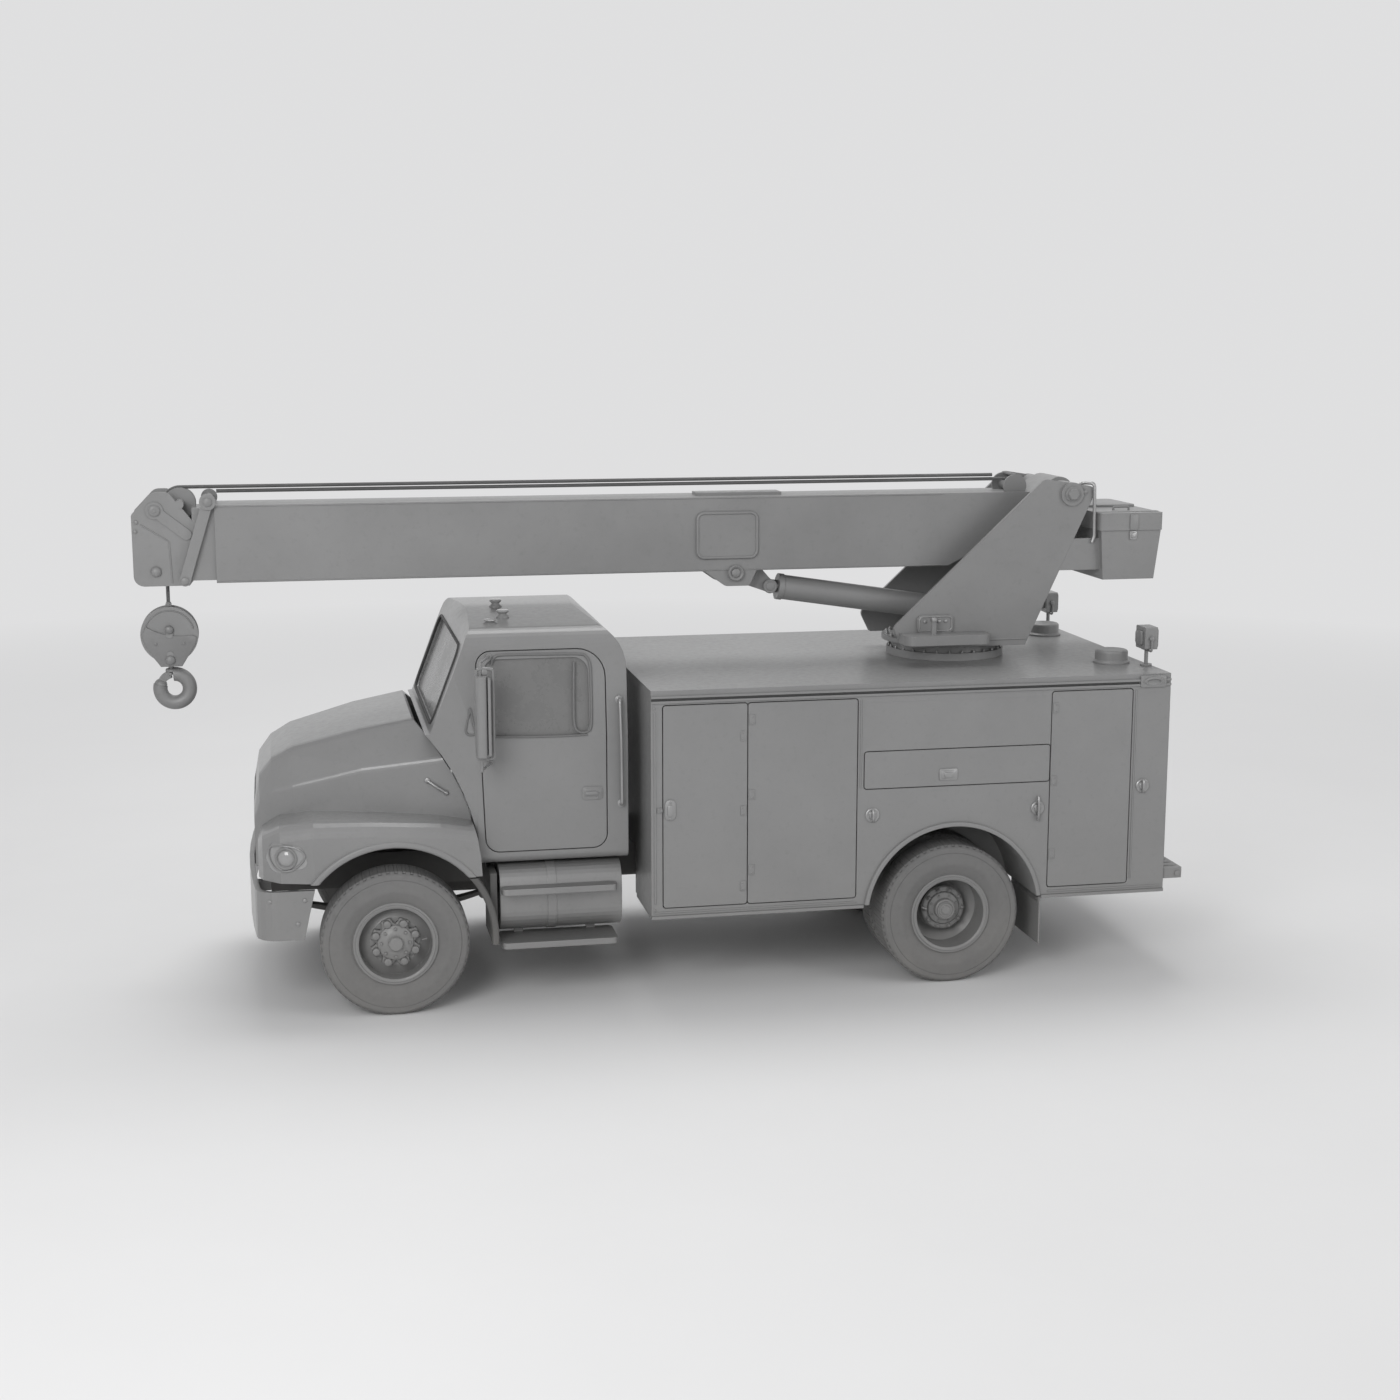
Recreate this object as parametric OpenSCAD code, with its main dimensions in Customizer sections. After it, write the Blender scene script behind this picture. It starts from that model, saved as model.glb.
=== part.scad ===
// Derrick truck with a telescopic boom: hooded cab, service body, slewing turret.
// +X forward, +Y left, +Z up, ground at zero. Places along X count from the rear axle.

/* [Overall] */
// Rear axle to front axle
wheelbase = 3880; // [3600:10:4300]
// Boom head's tip ahead of the rear axle
front_reach = 5530; // [5400:10:5800]
// Toolbox's back behind the rear axle
rear_reach = 1785; // [1760:5:1850]

/* [Wheels] */
// Tyre's outer radius
tyre_r = 500; // [480:5:510]
// Tyre's width
tyre_w = 270; // [250:5:285]
// Radius of the rim's seat
rim_r = 262; // [250:1:275]
// Distance between the front tyres' middles
front_track = 2020; // [1980:5:2050]
// Distance over the rear twin tyres
rear_over_w = 2380; // [2340:5:2400]

/* [Frame] */
// Width over the two rails
frame_w = 860; // [820:5:900]
// Height of a rail
rail_h = 240; // [200:5:260]
// Height of the rails' top
rail_top_z = 960; // [940:5:970]

/* [Cab] */
// Width of the cab
cab_w = 2000; // [1960:5:2040]
// Cab's back wall ahead of the rear axle
cab_x = 2270; // [2240:5:2300]
// Underside of the cab
cab_low_z = 985; // [975:5:1000]
// Top of the roof
cab_roof_z = 2630; // [2610:5:2650]
// Thickness of cab walls and doors
cab_wall = 46; // [40:1:55]

/* [Hood] */
// Tilt hinge ahead of the front axle
tilt_ahead = 860; // [850:5:880]
// Height of the tilt hinge
tilt_z = 925; // [915:5:935]
// Radius of the hood's rear seam about the hinge
seam_r = 1450; // [1445:1:1452]
// Thickness of the hood's skin
hood_t = 26; // [20:1:32]

/* [Service body] */
// Width of the body
box_w = 2440; // [2400:5:2480]
// Front wall ahead of the rear axle
box_front_x = 2150; // [2120:5:2170]
// Back wall behind the rear axle
box_rear = 1575; // [1560:5:1600]
// Underside of the side lockers
box_low_z = 617; // [600:1:630]
// Top of the roof deck
box_top_z = 2180; // [2160:5:2190]
// Thickness of walls and locker doors
box_wall = 40; // [36:1:46]

/* [Turret] */
// Slew axis behind the rear axle
slew_behind = 300; // [280:5:320]
// Boom's foot pin behind the rear axle
pivot_behind = 1096; // [1080:2:1110]
// Boom's foot pin below the boom's top
pivot_drop = 1; // [0:1:10]
// Width over the turret's side plates
turret_w = 900; // [860:5:940]

/* [Boom] */
// Width of the outer section
boom_w = 400; // [380:2:410]
// Height of the outer section
boom_h = 530; // [515:1:535]
// Top of the outer section
boom_top_z = 3385; // [3370:1:3395]
// Head's tip ahead of the outer section
tip_out = 550; // [530:5:570]
// Wall of the boom sections
boom_wall = 10; // [8:1:12]

/* [Lift cylinder] */
// Barrel's foot pin behind the rear axle
foot_behind = 500; // [480:5:520]
// Height of the barrel's foot pin
foot_z = 2480; // [2470:2:2490]
// Rod's eye ahead of the rear axle
eye_x = 1060; // [1050:2:1070]
// Rod's eye below the boom
eye_drop = 135; // [130:1:140]
// Outer radius of the barrel
barrel_r = 90; // [80:1:95]

/* [Hook block] */
// Rope behind the head's tip
rope_in = 212; // [200:2:230]
// Rope's diameter
rope_d = 25; // [20:1:28]
// Block's pin below the boom
pin_drop = 165; // [155:1:175]
// Outer radius of the block's cheeks
block_r = 195; // [180:1:197]

/* [Hidden] */

$fn = 64;
// Overrun of every cut
cut = 20;
// Gap between a piece and the seat that carries it
seat = 0.4;
// Running clearance of a shaft in its bore
run = 0.05;
// Gap round a door or lid
door_gap = 7;
// Steps in a rounded corner
corner_steps = 5;
// Thickness of a slice that a loft is stretched between
slice = 1;
// Share of half a bar's width that its ends are rounded to
bar_round_share = 0.96;

// Greys of the finishes
paint = [0.50, 0.50, 0.50];
dark = [0.28, 0.28, 0.29];
steel = [0.58, 0.58, 0.59];
rubber = [0.40, 0.40, 0.40];
pane = [0.42, 0.43, 0.44, 0.6];
rope_grey = [0.55, 0.55, 0.55];

// Origin: under the middle of the overall length
axle_x = (rear_reach - front_reach) / 2;
front_x = wheelbase;
tilt_x = wheelbase + tilt_ahead;
far_x = tilt_x + box_w;
slew_x = -slew_behind;
pivot_x = -pivot_behind;
foot_x = -foot_behind;
box_rear_x = -box_rear;
cab_y = cab_w / 2;
box_y = box_w / 2;
frame_y = frame_w / 2;
boom_y = boom_w / 2;
turret_y = turret_w / 2;
boom_low_z = boom_top_z - boom_h;
mouth_x = front_reach - tip_out;
pivot_z = boom_top_z - pivot_drop;
eye_z = boom_low_z - eye_drop;
rope_x = front_reach - rope_in;
hang_z = boom_low_z - pin_drop;

// Points of one corner, rounded to radius r in n steps
function corner(a, b, c, r, n) =
  let (u = (a - b) / norm(a - b),
       v = (c - b) / norm(c - b),
       half = acos(u * v) / 2,
       o = b + (u + v) / norm(u + v) * r / sin(half),
       p = b + u * r / tan(half) - o,
       q = b + v * r / tan(half) - o,
       a0 = atan2(p[1], p[0]),
       turn = (atan2(q[1], q[0]) - a0 + 540) % 360 - 180)
  r == 0 ? [b] : [for (i = [0:n]) o + r * [cos(a0 + turn * i / n), sin(a0 + turn * i / n)]];

// Outline with each corner rounded to its own radius
function rounded(pts, radii, n = corner_steps) =
  [for (i = [0:len(pts) - 1])
    each corner(pts[(i + len(pts) - 1) % len(pts)], pts[i], pts[(i + 1) % len(pts)], radii[i], n)];

// Rectangle with equal round corners, from low to high corner
function rrect(lo, hi, r, n = corner_steps) =
  rounded([lo, [hi[0], lo[1]], hi, [lo[0], hi[1]]], [r, r, r, r], n);

// Everything is drawn from the rear axle and moved to the origin once
module placed() {
  translate([axle_x, 0, 0]) children();
}

module pair() {
  children();
  mirror([0, 1, 0]) children();
}

// side is 1 for the left and -1 for the right
module on_side(side) {
  mirror([0, side < 0 ? 1 : 0, 0]) children();
}

// Outline in X and Z, stretched along Y
module y_slab(pts, y0, y1) {
  translate([0, y1, 0]) rotate([90, 0, 0]) linear_extrude(y1 - y0) polygon(pts);
}

// Outline in Y and Z, stretched along X
module x_slab(pts, x0, x1) {
  translate([x0, 0, 0]) rotate([90, 0, 90]) linear_extrude(x1 - x0) polygon(pts);
}

// Outline in X and Y, stretched along Z
module z_slab(pts, z0, z1) {
  translate([0, 0, z0]) linear_extrude(z1 - z0) polygon(pts);
}

module block(lo, hi) {
  translate(lo) cube(hi - lo);
}

module rod_y(x, z, r, y0, y1) {
  translate([x, y1, z]) rotate([90, 0, 0]) cylinder(r = r, h = y1 - y0);
}

module rod_x(y, z, r, x0, x1) {
  translate([x0, y, z]) rotate([0, 90, 0]) cylinder(r = r, h = x1 - x0);
}

module rod_z(x, y, r, z0, z1) {
  translate([x, y, z0]) cylinder(r = r, h = z1 - z0);
}

// Flat bar from point a to point b, its ends round
function bar(a, b, w) =
  let (u = (b - a) / norm(b - a) * w / 2,
       n = [-u[1], u[0]])
  rounded([a - u + n, b + u + n, b + u - n, a - u - n], [for (i = [0:3]) w / 2 * bar_round_share]);

// Round bar between two points
module rod_between(a, b, r) {
  d = b - a;
  translate(a) rotate([0, acos(d[2] / norm(d)), atan2(d[1], d[0])]) cylinder(r = r, h = norm(d));
}

// Frame: two channel rails, cross members and the hitch plate at the back
rail_t = 9;
rail_flange = 78;
rail_rear_x = -1500;
nose_x = 4690;
rail_low_z = rail_top_z - rail_h;
member_w = 90;
member_h = 150;
member_shares = [0.02, 0.17, 0.34, 0.50, 0.65];
hitch_t = 20;
hitch_y = 300;
hitch_low_z = 440;
hitch_z = 560;
hitch_bolt_y = 85.7;
hitch_bolt_z = 44.5;
hitch_hole_r = 6.75;
hood_post_y = 330;
hood_post_w = 40;
hood_post_t = 60;
hood_pin_r = 14;
hood_lug_w = 36;
hood_lug_r = 30;

module channel() {
  in_y = frame_y - rail_flange;
  x_slab([
    [frame_y, rail_low_z], [frame_y, rail_top_z], [in_y, rail_top_z], [in_y, rail_top_z - rail_t],
    [frame_y - rail_t, rail_top_z - rail_t], [frame_y - rail_t, rail_low_z + rail_t],
    [in_y, rail_low_z + rail_t], [in_y, rail_low_z]
  ], rail_rear_x, nose_x);
}

// Post on each rail's nose that carries a pin of the hood's hinge
module hood_post() {
  y0 = hood_post_y - hood_post_w;
  r = hood_lug_r * 0.8;
  block([nose_x - hood_post_t, y0, rail_low_z], [nose_x, frame_y - rail_t, rail_top_z]);
  y_slab([
    [nose_x - hood_post_t, rail_top_z - member_w], [nose_x, rail_low_z + member_w],
    [tilt_x, tilt_z - r], [tilt_x + r, tilt_z],
    [tilt_x, tilt_z + r], [nose_x - hood_post_t, rail_top_z]
  ], y0, hood_post_y);
  rod_y(tilt_x, tilt_z, hood_pin_r, hood_post_y - hood_post_w / 2, hood_post_y + hood_lug_w + hood_pin_r);
}

module hitch_plate() {
  x1 = rail_rear_x;
  difference() {
    block([x1 - hitch_t, -hitch_y, hitch_low_z], [x1, hitch_y, rail_top_z]);
    for (sy = [-1, 1], sz = [-1, 1])
      rod_x(sy * hitch_bolt_y / 2, hitch_z + sz * hitch_bolt_z / 2, hitch_hole_r, x1 - hitch_t - cut, x1 + cut);
  }
  block([x1 - hitch_t, -frame_y, rail_low_z], [x1, -hitch_y, rail_top_z]);
  block([x1 - hitch_t, hitch_y, rail_low_z], [x1, frame_y, rail_top_z]);
}

module frame_rails() {
  in_y = frame_y - rail_t;
  z_mid = rail_top_z - rail_h / 2;
  color(dark) placed() {
    pair() {
      channel();
      hood_post();
    }
    for (s = member_shares) {
      x = rail_rear_x + s * (nose_x - rail_rear_x);
      block([x, -in_y, z_mid - member_h / 2], [x + member_w, in_y, z_mid + member_h / 2]);
    }
    hitch_plate();
  }
}

// Front axle: a dropped beam with kingpin eyes, on leaf springs under the rails
beam_z = 430;
beam_h = 100;
beam_w = 96;
beam_web = 30;
king_y = 880;
kingpin_r = 22;
eye_boss_r = 50;
stub_r = 42;
fork_t = 42;
fork_r = 56;
fork_gap = 1;
eye_boss_h = 120;
spring_y = 380;
spring_w = 76;
spring_t = 60;
spring_reach = 660;
spring_rise = 110;
rear_spring_rise = 40;
spring_eye_r = 34;
leaf_steps = 10;

// Arched leaf pack from eye to eye; its middle rests on the axle's seat
module leaf_spring(x, z_seat, rise) {
  function leaf(s) = z_seat + rise * s * s;
  top = [for (i = [-leaf_steps:leaf_steps]) let (s = i / leaf_steps)
    [x + s * spring_reach, leaf(s) + spring_t * (1 - 0.6 * abs(s))]];
  low = [for (i = [leaf_steps:-1:-leaf_steps]) let (s = i / leaf_steps) [x + s * spring_reach, leaf(s)]];
  y_slab(concat(top, low), spring_y - spring_w / 2, spring_y + spring_w / 2);
  for (s = [-1, 1]) {
    rod_y(x + s * spring_reach, leaf(1), spring_eye_r, spring_y - spring_w / 2, spring_y + spring_w / 2);
    block([x + s * spring_reach - spring_eye_r, spring_y - spring_w / 2, leaf(1)],
          [x + s * spring_reach + spring_eye_r, spring_y + spring_w / 2, rail_low_z - seat]);
  }
}

module front_axle() {
  x = front_x;
  low = beam_z - beam_h / 2;
  high = beam_z + beam_h / 2;
  pad_z = high + beam_web;
  color(dark) placed() {
    difference() {
      union() {
        block([x - beam_w / 2, -king_y, low], [x + beam_w / 2, king_y, high]);
        pair() {
          rod_z(x, king_y, eye_boss_r, tyre_r - eye_boss_h / 2, tyre_r + eye_boss_h / 2);
          block([x - beam_w / 2, spring_y - spring_w / 2, beam_z],
            [x + beam_w / 2, spring_y + spring_w / 2, pad_z + spring_t / 3]);
          leaf_spring(x, pad_z, spring_rise);
        }
      }
      for (s = [-1, 1])
        block([x + s * (beam_web / 2 + beam_w / 2) - beam_w / 2, -spring_y + spring_w, low + beam_web / 2],
              [x + s * (beam_web / 2 + beam_w / 2) + beam_w / 2, spring_y - spring_w, high - beam_web / 2]);
      pair() {
        rod_z(x, king_y, kingpin_r + run, low - cut, tyre_r + eye_boss_h);
        block([x - beam_w, king_y - fork_r - door_gap, low - cut],
              [x + beam_w, king_y + beam_w, tyre_r - eye_boss_h / 2]);
      }
    }
  }
}

// Knuckle: fork round the axle's eye, kingpin, and the stub that carries the wheel
hub_in_y = 960;
hub_out_y = 1052;

module knuckle_part(side) {
  x = front_x;
  low = tyre_r - eye_boss_h / 2 - fork_gap;
  high = tyre_r + eye_boss_h / 2 + fork_gap;
  web_y = king_y + eye_boss_r + door_gap;
  color(dark) placed() on_side(side) {
    rod_z(x, king_y, kingpin_r, low - fork_t, high + fork_t);
    for (z = [low - fork_t, high]) {
      rod_z(x, king_y, fork_r, z, z + fork_t);
      block([x - fork_r, king_y, z], [x + fork_r, web_y, z + fork_t]);
    }
    block([x - fork_r, web_y, low - fork_t], [x + fork_r, hub_in_y - seat, high + fork_t]);
    rod_y(x, tyre_r, stub_r, web_y, hub_out_y + fork_t);
  }
}

module knuckle_left() {
  knuckle_part(1);
}

module knuckle_right() {
  knuckle_part(-1);
}

// Rear axle: banjo housing, spindles through the twin wheels' hubs, leaf springs
housing_r = 72;
diff_r = 190;
diff_y = 130;
rear_hub_r = 58;
rear_hub_in_y = 600;
rear_hub_out_y = 1010;
spindle_y = 560;

module rear_axle() {
  pad_z = tyre_r + housing_r + spring_t / 2;
  color(dark) placed() {
    translate([0, 0, tyre_r]) rotate([90, 0, 0]) rotate_extrude() polygon([
      [0, -spindle_y], [housing_r, -spindle_y], [housing_r, -diff_y * 2],
      [diff_r, -diff_y / 2], [diff_r, diff_y / 2], [housing_r, diff_y * 2],
      [housing_r, spindle_y], [0, spindle_y]
    ]);
    pair() {
      rod_y(0, tyre_r, rear_hub_r, 0, rear_hub_out_y);
      block([-housing_r, spring_y - spring_w / 2, tyre_r],
        [housing_r, spring_y + spring_w / 2, pad_z + spring_t / 3]);
      leaf_spring(0, pad_z, rear_spring_rise);
    }
  }
}

// Engine, radiator, gearbox and propeller shaft
engine_x = 3480;
engine_len = 940;
engine_end_x = engine_x + engine_len;
engine_y = 300;
engine_low_z = 720;
engine_high_z = 1420;
rocker_h = 110;
radiator_x = 4540;
radiator_t = 90;
radiator_y = 410;
radiator_low_z = 980;
radiator_high_z = 1440;
gearbox_len = 760;
engine_foot_shares = [0.12, 0.78];
gearbox_r = 190;
shaft_r = 48;
shaft_z = 640;

module engine() {
  gear_x = engine_x - gearbox_len;
  color(dark) placed() {
    block([engine_x, -engine_y, engine_low_z], [engine_end_x, engine_y, engine_high_z - rocker_h]);
    block([engine_x, -engine_y / 2, engine_low_z], [engine_end_x, engine_y / 2, engine_high_z]);
    block([radiator_x, -radiator_y, radiator_low_z], [radiator_x + radiator_t, radiator_y, radiator_high_z]);
    block([engine_end_x, -shaft_r, radiator_low_z], [radiator_x, shaft_r, radiator_low_z + radiator_t]);
    rod_x(0, shaft_z + gearbox_r / 2, gearbox_r, gear_x, engine_x);
    pair() for (s = engine_foot_shares)
      block([engine_x + s * (engine_end_x - engine_x), engine_y / 2, rail_low_z + rail_t + seat],
            [engine_x + s * (engine_end_x - engine_x) + member_w, frame_y - rail_t * 2, rail_low_z + member_w]);
    rod_x(0, shaft_z, shaft_r, diff_r + seat, gear_x);
  }
}

// Front bumper: bowed pressing with wrapped ends, cut on a slant
bumper_front_x = 4836;
bumper_end_x = 4402;
bumper_y = 1075;
bumper_low_z = 550;
bumper_top_z = 885;
bumper_bow = 55;
bumper_t = 12;
bumper_flange = 34;
bumper_corner_r = 150;
bumper_shares = [0.0, 0.30, 0.62, 0.86];
bumper_slant = 82;

function bumper_plan(inset) =
  let (w = bumper_y - inset,
       x1 = bumper_front_x - inset,
       half = [for (s = bumper_shares) [x1 - bumper_bow * s * s, w * s]],
       last = [x1 - bumper_bow, w])
  rounded(concat([[bumper_end_x - (inset > 0 ? cut : 0), w]], [last], [for (i = [len(half) - 1:-1:0]) half[i]],
                 [for (i = [1:len(half) - 1]) [half[i][0], -half[i][1]]], [[last[0], -w]],
                 [[bumper_end_x - (inset > 0 ? cut : 0), -w]]),
          concat([0, max(bumper_corner_r - inset, bumper_t)], [for (i = [1:2 * len(half) - 1]) 0],
                 [max(bumper_corner_r - inset, bumper_t), 0]));

module front_bumper() {
  bracket_y = frame_y - rail_flange;
  color(paint) placed() {
    difference() {
      z_slab(bumper_plan(0), bumper_low_z, bumper_top_z);
      z_slab(bumper_plan(bumper_t), bumper_low_z - cut, bumper_top_z - bumper_t);
      z_slab(bumper_plan(bumper_flange), bumper_low_z, bumper_top_z + cut);
      y_slab([
        [bumper_end_x - cut, bumper_low_z - cut], [bumper_end_x + bumper_slant, bumper_low_z - cut],
        [bumper_end_x, bumper_top_z], [bumper_end_x - cut, bumper_top_z]
      ], -bumper_y - cut, bumper_y + cut);
    }
    pair()
      block([nose_x + seat, bracket_y, rail_low_z + rail_t],
            [bumper_front_x - bumper_t, frame_y, rail_low_z + member_h / 2]);
  }
}

// Hood: lofted bonnet and fenders that tilt as one, cut to an arc about the hinge
hood_z = 945;
bonnet_behind = 640;
bonnet_back_x = front_x - bonnet_behind;
bonnet_len = 1545;
bonnet_y = 870;
bonnet_h = 1017;
// Loft stations as shares of those: x, half width low, half width high, shoulder height, top height
bonnet_shares = [
  [0, 1.05, 0.72, 0.78, 1.055],
  [0.207, 1, 0.69, 0.742, 1],
  [0.531, 0.92, 0.644, 0.683, 0.911],
  [0.828, 0.793, 0.575, 0.565, 0.793],
  [0.919, 0.736, 0.54, 0.526, 0.715],
  [0.974, 0.69, 0.506, 0.447, 0.605],
  [1, 0.644, 0.483, 0.339, 0.398]
];
bonnet_stations = [for (s = bonnet_shares)
  [bonnet_back_x + s[0] * bonnet_len, s[1] * bonnet_y, s[2] * bonnet_y,
   hood_z + s[3] * bonnet_h, hood_z + s[4] * bonnet_h]];
bonnet_edge_r = 60;
fender_behind = 630;
fender_len = 1515;
fender_y = 1162;
fender_h = 407;
// Fender stations as shares of those: x, inner y, outer y, top height
fender_shares = [
  [0, 0.602, 0.99, 0.779],
  [0.205, 0.602, 1, 0.916],
  [0.495, 0.56, 0.998, 0.983],
  [0.759, 0.482, 0.981, 1],
  [0.904, 0.413, 0.929, 0.916],
  [0.98, 0.379, 0.826, 0.725],
  [1, 0.361, 0.74, 0.528]
];
fender_stations = [for (s = fender_shares)
  [front_x - fender_behind + s[0] * fender_len, s[1] * fender_y, s[2] * fender_y,
   hood_z + s[3] * fender_h]];
fender_edge_r = 95;
arch_r = 648;
arch_z = 522;
arch_in_y = 600;
flare_w = 46;
flare_out_y = 1172;
flare_in_y = 1060;
flare_r = 16;
fender_rear_x = front_x - arch_r - flare_w;
grille_y = 400;
grille_low_z = 985;
grille_high_z = 1430;
grille_r = 60;
grille_depth = 60;

module bonnet_loft(inset) {
  hull()
    for (st = bonnet_stations)
      x_slab(rounded([
        [-st[1] + inset, hood_z - (inset > 0 ? cut : 0)],
          [st[1] - inset, hood_z - (inset > 0 ? cut : 0)],
        [st[1] - inset, st[3] - inset], [st[2] - inset, st[4] - inset],
        [-st[2] + inset, st[4] - inset], [-st[1] + inset, st[3] - inset]
      ], [0, 0, bonnet_edge_r, bonnet_edge_r * 2, bonnet_edge_r * 2, bonnet_edge_r], 3),
      st[0] - (inset > 0 && st[0] < front_x ? cut * 4 : 0) - (st[0] > front_x ? inset : 0),
      st[0] + slice - (st[0] > front_x ? inset : 0));
}

module fender_loft(inset) {
  hull()
    for (st = fender_stations)
      x_slab(rounded([
        [st[1], hood_z - (inset > 0 ? cut : 0)], [st[2] - inset, hood_z - (inset > 0 ? cut : 0)],
        [st[2] - inset, st[3] - inset], [st[1], st[3] - inset]
      ], [0, 0, fender_edge_r, 0], 4),
      st[0] + (st[0] < front_x ? inset : -inset),
      st[0] + (st[0] < front_x ? inset : -inset) + slice);
}

// Lip round the arch, a band with a rounded outer edge
module flare_ring() {
  translate([front_x, 0, arch_z]) rotate([-90, 0, 0]) rotate_extrude($fn = 96)
    polygon(rounded([
      [arch_r, flare_in_y], [arch_r + flare_w, flare_in_y], [arch_r + flare_w, flare_out_y],
        [arch_r, flare_out_y]
    ], [0, 0, flare_r, flare_r], 3));
}

// Side outline of a headlamp
lamp_x0 = 4430;
lamp_x1 = 4720;
lamp_z0 = 1010;
lamp_z1 = 1222;
lamp_t = 40;
lamp_in_y = 560;
lamp_rise = 48;

function lamp_outline(grow) = rounded([
    [lamp_x0 - grow, lamp_z0 + lamp_rise - grow], [lamp_x1 - lamp_rise + grow, lamp_z0 - grow],
    [lamp_x1 + grow, lamp_z0 + lamp_rise * 2], [lamp_x1 - lamp_rise + grow, lamp_z1 + grow],
    [lamp_x0 + lamp_rise - grow, lamp_z1 - lamp_rise / 2 + grow]
  ], [lamp_rise, lamp_rise, lamp_rise, lamp_rise, lamp_rise], 5);

module lamp_prism(grow) {
  y_slab(lamp_outline(grow), lamp_in_y, box_y);
}

module grille_prism(grow) {
  x_slab(rrect([-grille_y - grow, grille_low_z - grow], [grille_y + grow, grille_high_z + grow],
                        grille_r + grow), radiator_x + radiator_t + cut, far_x);
}

module wheel_arches() {
  pair() rod_y(front_x, arch_z, arch_r, arch_in_y, box_y);
}

// Ear on the hood that turns on its hinge pin
module hood_lug() {
  y0 = hood_post_y + seat;
  difference() {
    union() {
      rod_y(tilt_x, tilt_z, hood_lug_r, y0, y0 + hood_lug_w);
      y_slab([
        [tilt_x - hood_lug_r, tilt_z], [tilt_x + hood_lug_r, tilt_z],
        [tilt_x + hood_lug_r, grille_low_z - grille_r / 4], [tilt_x - hood_lug_r, grille_low_z - grille_r / 4]
      ], y0, y0 + hood_lug_w);
    }
    rod_y(tilt_x, tilt_z, hood_pin_r + run, y0 - cut, y0 + hood_lug_w + cut);
  }
}

module hood() {
  color(paint) placed() {
    intersection() {
      difference() {
        union() {
          bonnet_loft(0);
          pair() {
            fender_loft(0);
            flare_ring();
          }
        }
        bonnet_loft(hood_t);
        pair() fender_loft(hood_t);
        wheel_arches();
        grille_prism(seat);
        pair() lamp_prism(seat);
        block([fender_rear_x - arch_r, -box_y, -arch_r], [far_x, box_y, hood_z]);
      }
      rod_y(tilt_x, tilt_z, seam_r, -box_y, box_y);
    }
    pair() hood_lug();
  }
}

// Rear foot of each fender lip, fixed behind the wheel
guard_low_z = 468;
guard_in_y = 700;
guard_gap = 10;

module splash_guards() {
  top = hood_z - guard_gap;
  color(paint) placed() pair() {
    intersection() {
      flare_ring();
      block([fender_rear_x - arch_r, flare_in_y, guard_low_z], [front_x - arch_r / 2, box_y, top]);
    }
    difference() {
      block([front_x - arch_r - flare_w, guard_in_y, guard_low_z], [front_x - arch_r, flare_in_y, top]);
      rod_y(front_x, arch_z, arch_r, guard_in_y - cut, flare_in_y + cut);
    }
    block([front_x - arch_r - flare_w, frame_y + seat, rail_low_z + rail_t],
          [front_x - arch_r - hood_t, guard_in_y, rail_low_z + member_h]);
  }
}

// Grille: rounded frame with upright and level bars
grille_rows = 7;
grille_cols = 2;
grille_bar = 14;
grille_rim = 26;

module grille() {
  z_in = grille_low_z + grille_rim;
  w_in = grille_y - grille_rim;
  pitch = (grille_high_z - grille_rim - z_in) / (grille_rows + 1);
  color(steel) placed() intersection() {
    difference() {
      bonnet_loft(0);
      bonnet_loft(grille_depth);
    }
    grille_prism(0);
    union() {
      difference() {
        grille_prism(0);
        x_slab(rrect([-w_in, z_in], [w_in, grille_high_z - grille_rim], grille_r - grille_rim),
                   radiator_x, far_x);
      }
      for (i = [1:grille_rows])
        block([radiator_x, -grille_y, z_in + i * pitch - grille_bar / 2],
              [far_x, grille_y, z_in + i * pitch + grille_bar / 2]);
      for (i = [-grille_cols:grille_cols])
        block([radiator_x, i * w_in * 2 / (grille_cols * 2 + 1) - grille_bar / 2, grille_low_z],
              [far_x, i * w_in * 2 / (grille_cols * 2 + 1) + grille_bar / 2, grille_high_z]);
    }
  }
}

module headlamps() {
  color(pane) placed() pair() intersection() {
    difference() {
      fender_loft(0);
      fender_loft(lamp_t);
    }
    lamp_prism(0);
  }
}

// Cab: one block, shelled, with doors and windows cut from the same outlines
cowl_gap = 8;
roof_back_r = 330;
roof_front_r = 170;
roof_ahead = 1046;
crown = 55;
crown_r = 9000;
screen_foot_z = 1880;
screen_ahead = 1335;
cowl_ahead = 1450;
cowl_drop = 10;
nose_from = 1030;
nose_to = 1400;
nose_in = 122;
nose_share = (nose_to + nose_in - nose_from) / (nose_to - nose_from);
waist_z = 1850;
tumble = 78;
roof_side_r = 150;
sill_r = 60;
lip_w = 28;
lip_t = 16;
pane_t = 6;
pane_in = 18;

function cab_side(inset) = rounded([
    [cab_x + inset, cab_low_z + inset], [cab_x + inset, cab_roof_z - inset],
    [cab_x + roof_ahead - inset, cab_roof_z - inset], [cab_x + screen_ahead - inset, screen_foot_z],
    [cab_x + cowl_ahead, screen_foot_z - cowl_drop], [cab_x + cowl_ahead, cab_low_z + inset]
  ], [0, roof_back_r - inset, roof_front_r - inset, 0, 0, 0], 9);

// Plan of the cab: its sides draw in ahead of the doors
function cab_plan(inset) =
  let (w = cab_y - inset, e = cab_x + nose_to + nose_in)
  [
    [cab_x, -w], [cab_x + nose_from, -w], [e, nose_in * nose_share - w],
    [e, w - nose_in * nose_share], [cab_x + nose_from, w], [cab_x, w]
  ];

function cab_front(inset) =
  let (w = cab_y - inset, top = cab_roof_z - inset)
  rounded([
    [-w, cab_low_z + inset], [w, cab_low_z + inset], [w, waist_z], [w - tumble, top - crown],
    [0, top], [-w + tumble, top - crown], [-w, waist_z]
  ], [sill_r, sill_r, 0, roof_side_r - inset, crown_r, roof_side_r - inset, 0], 7);

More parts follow.
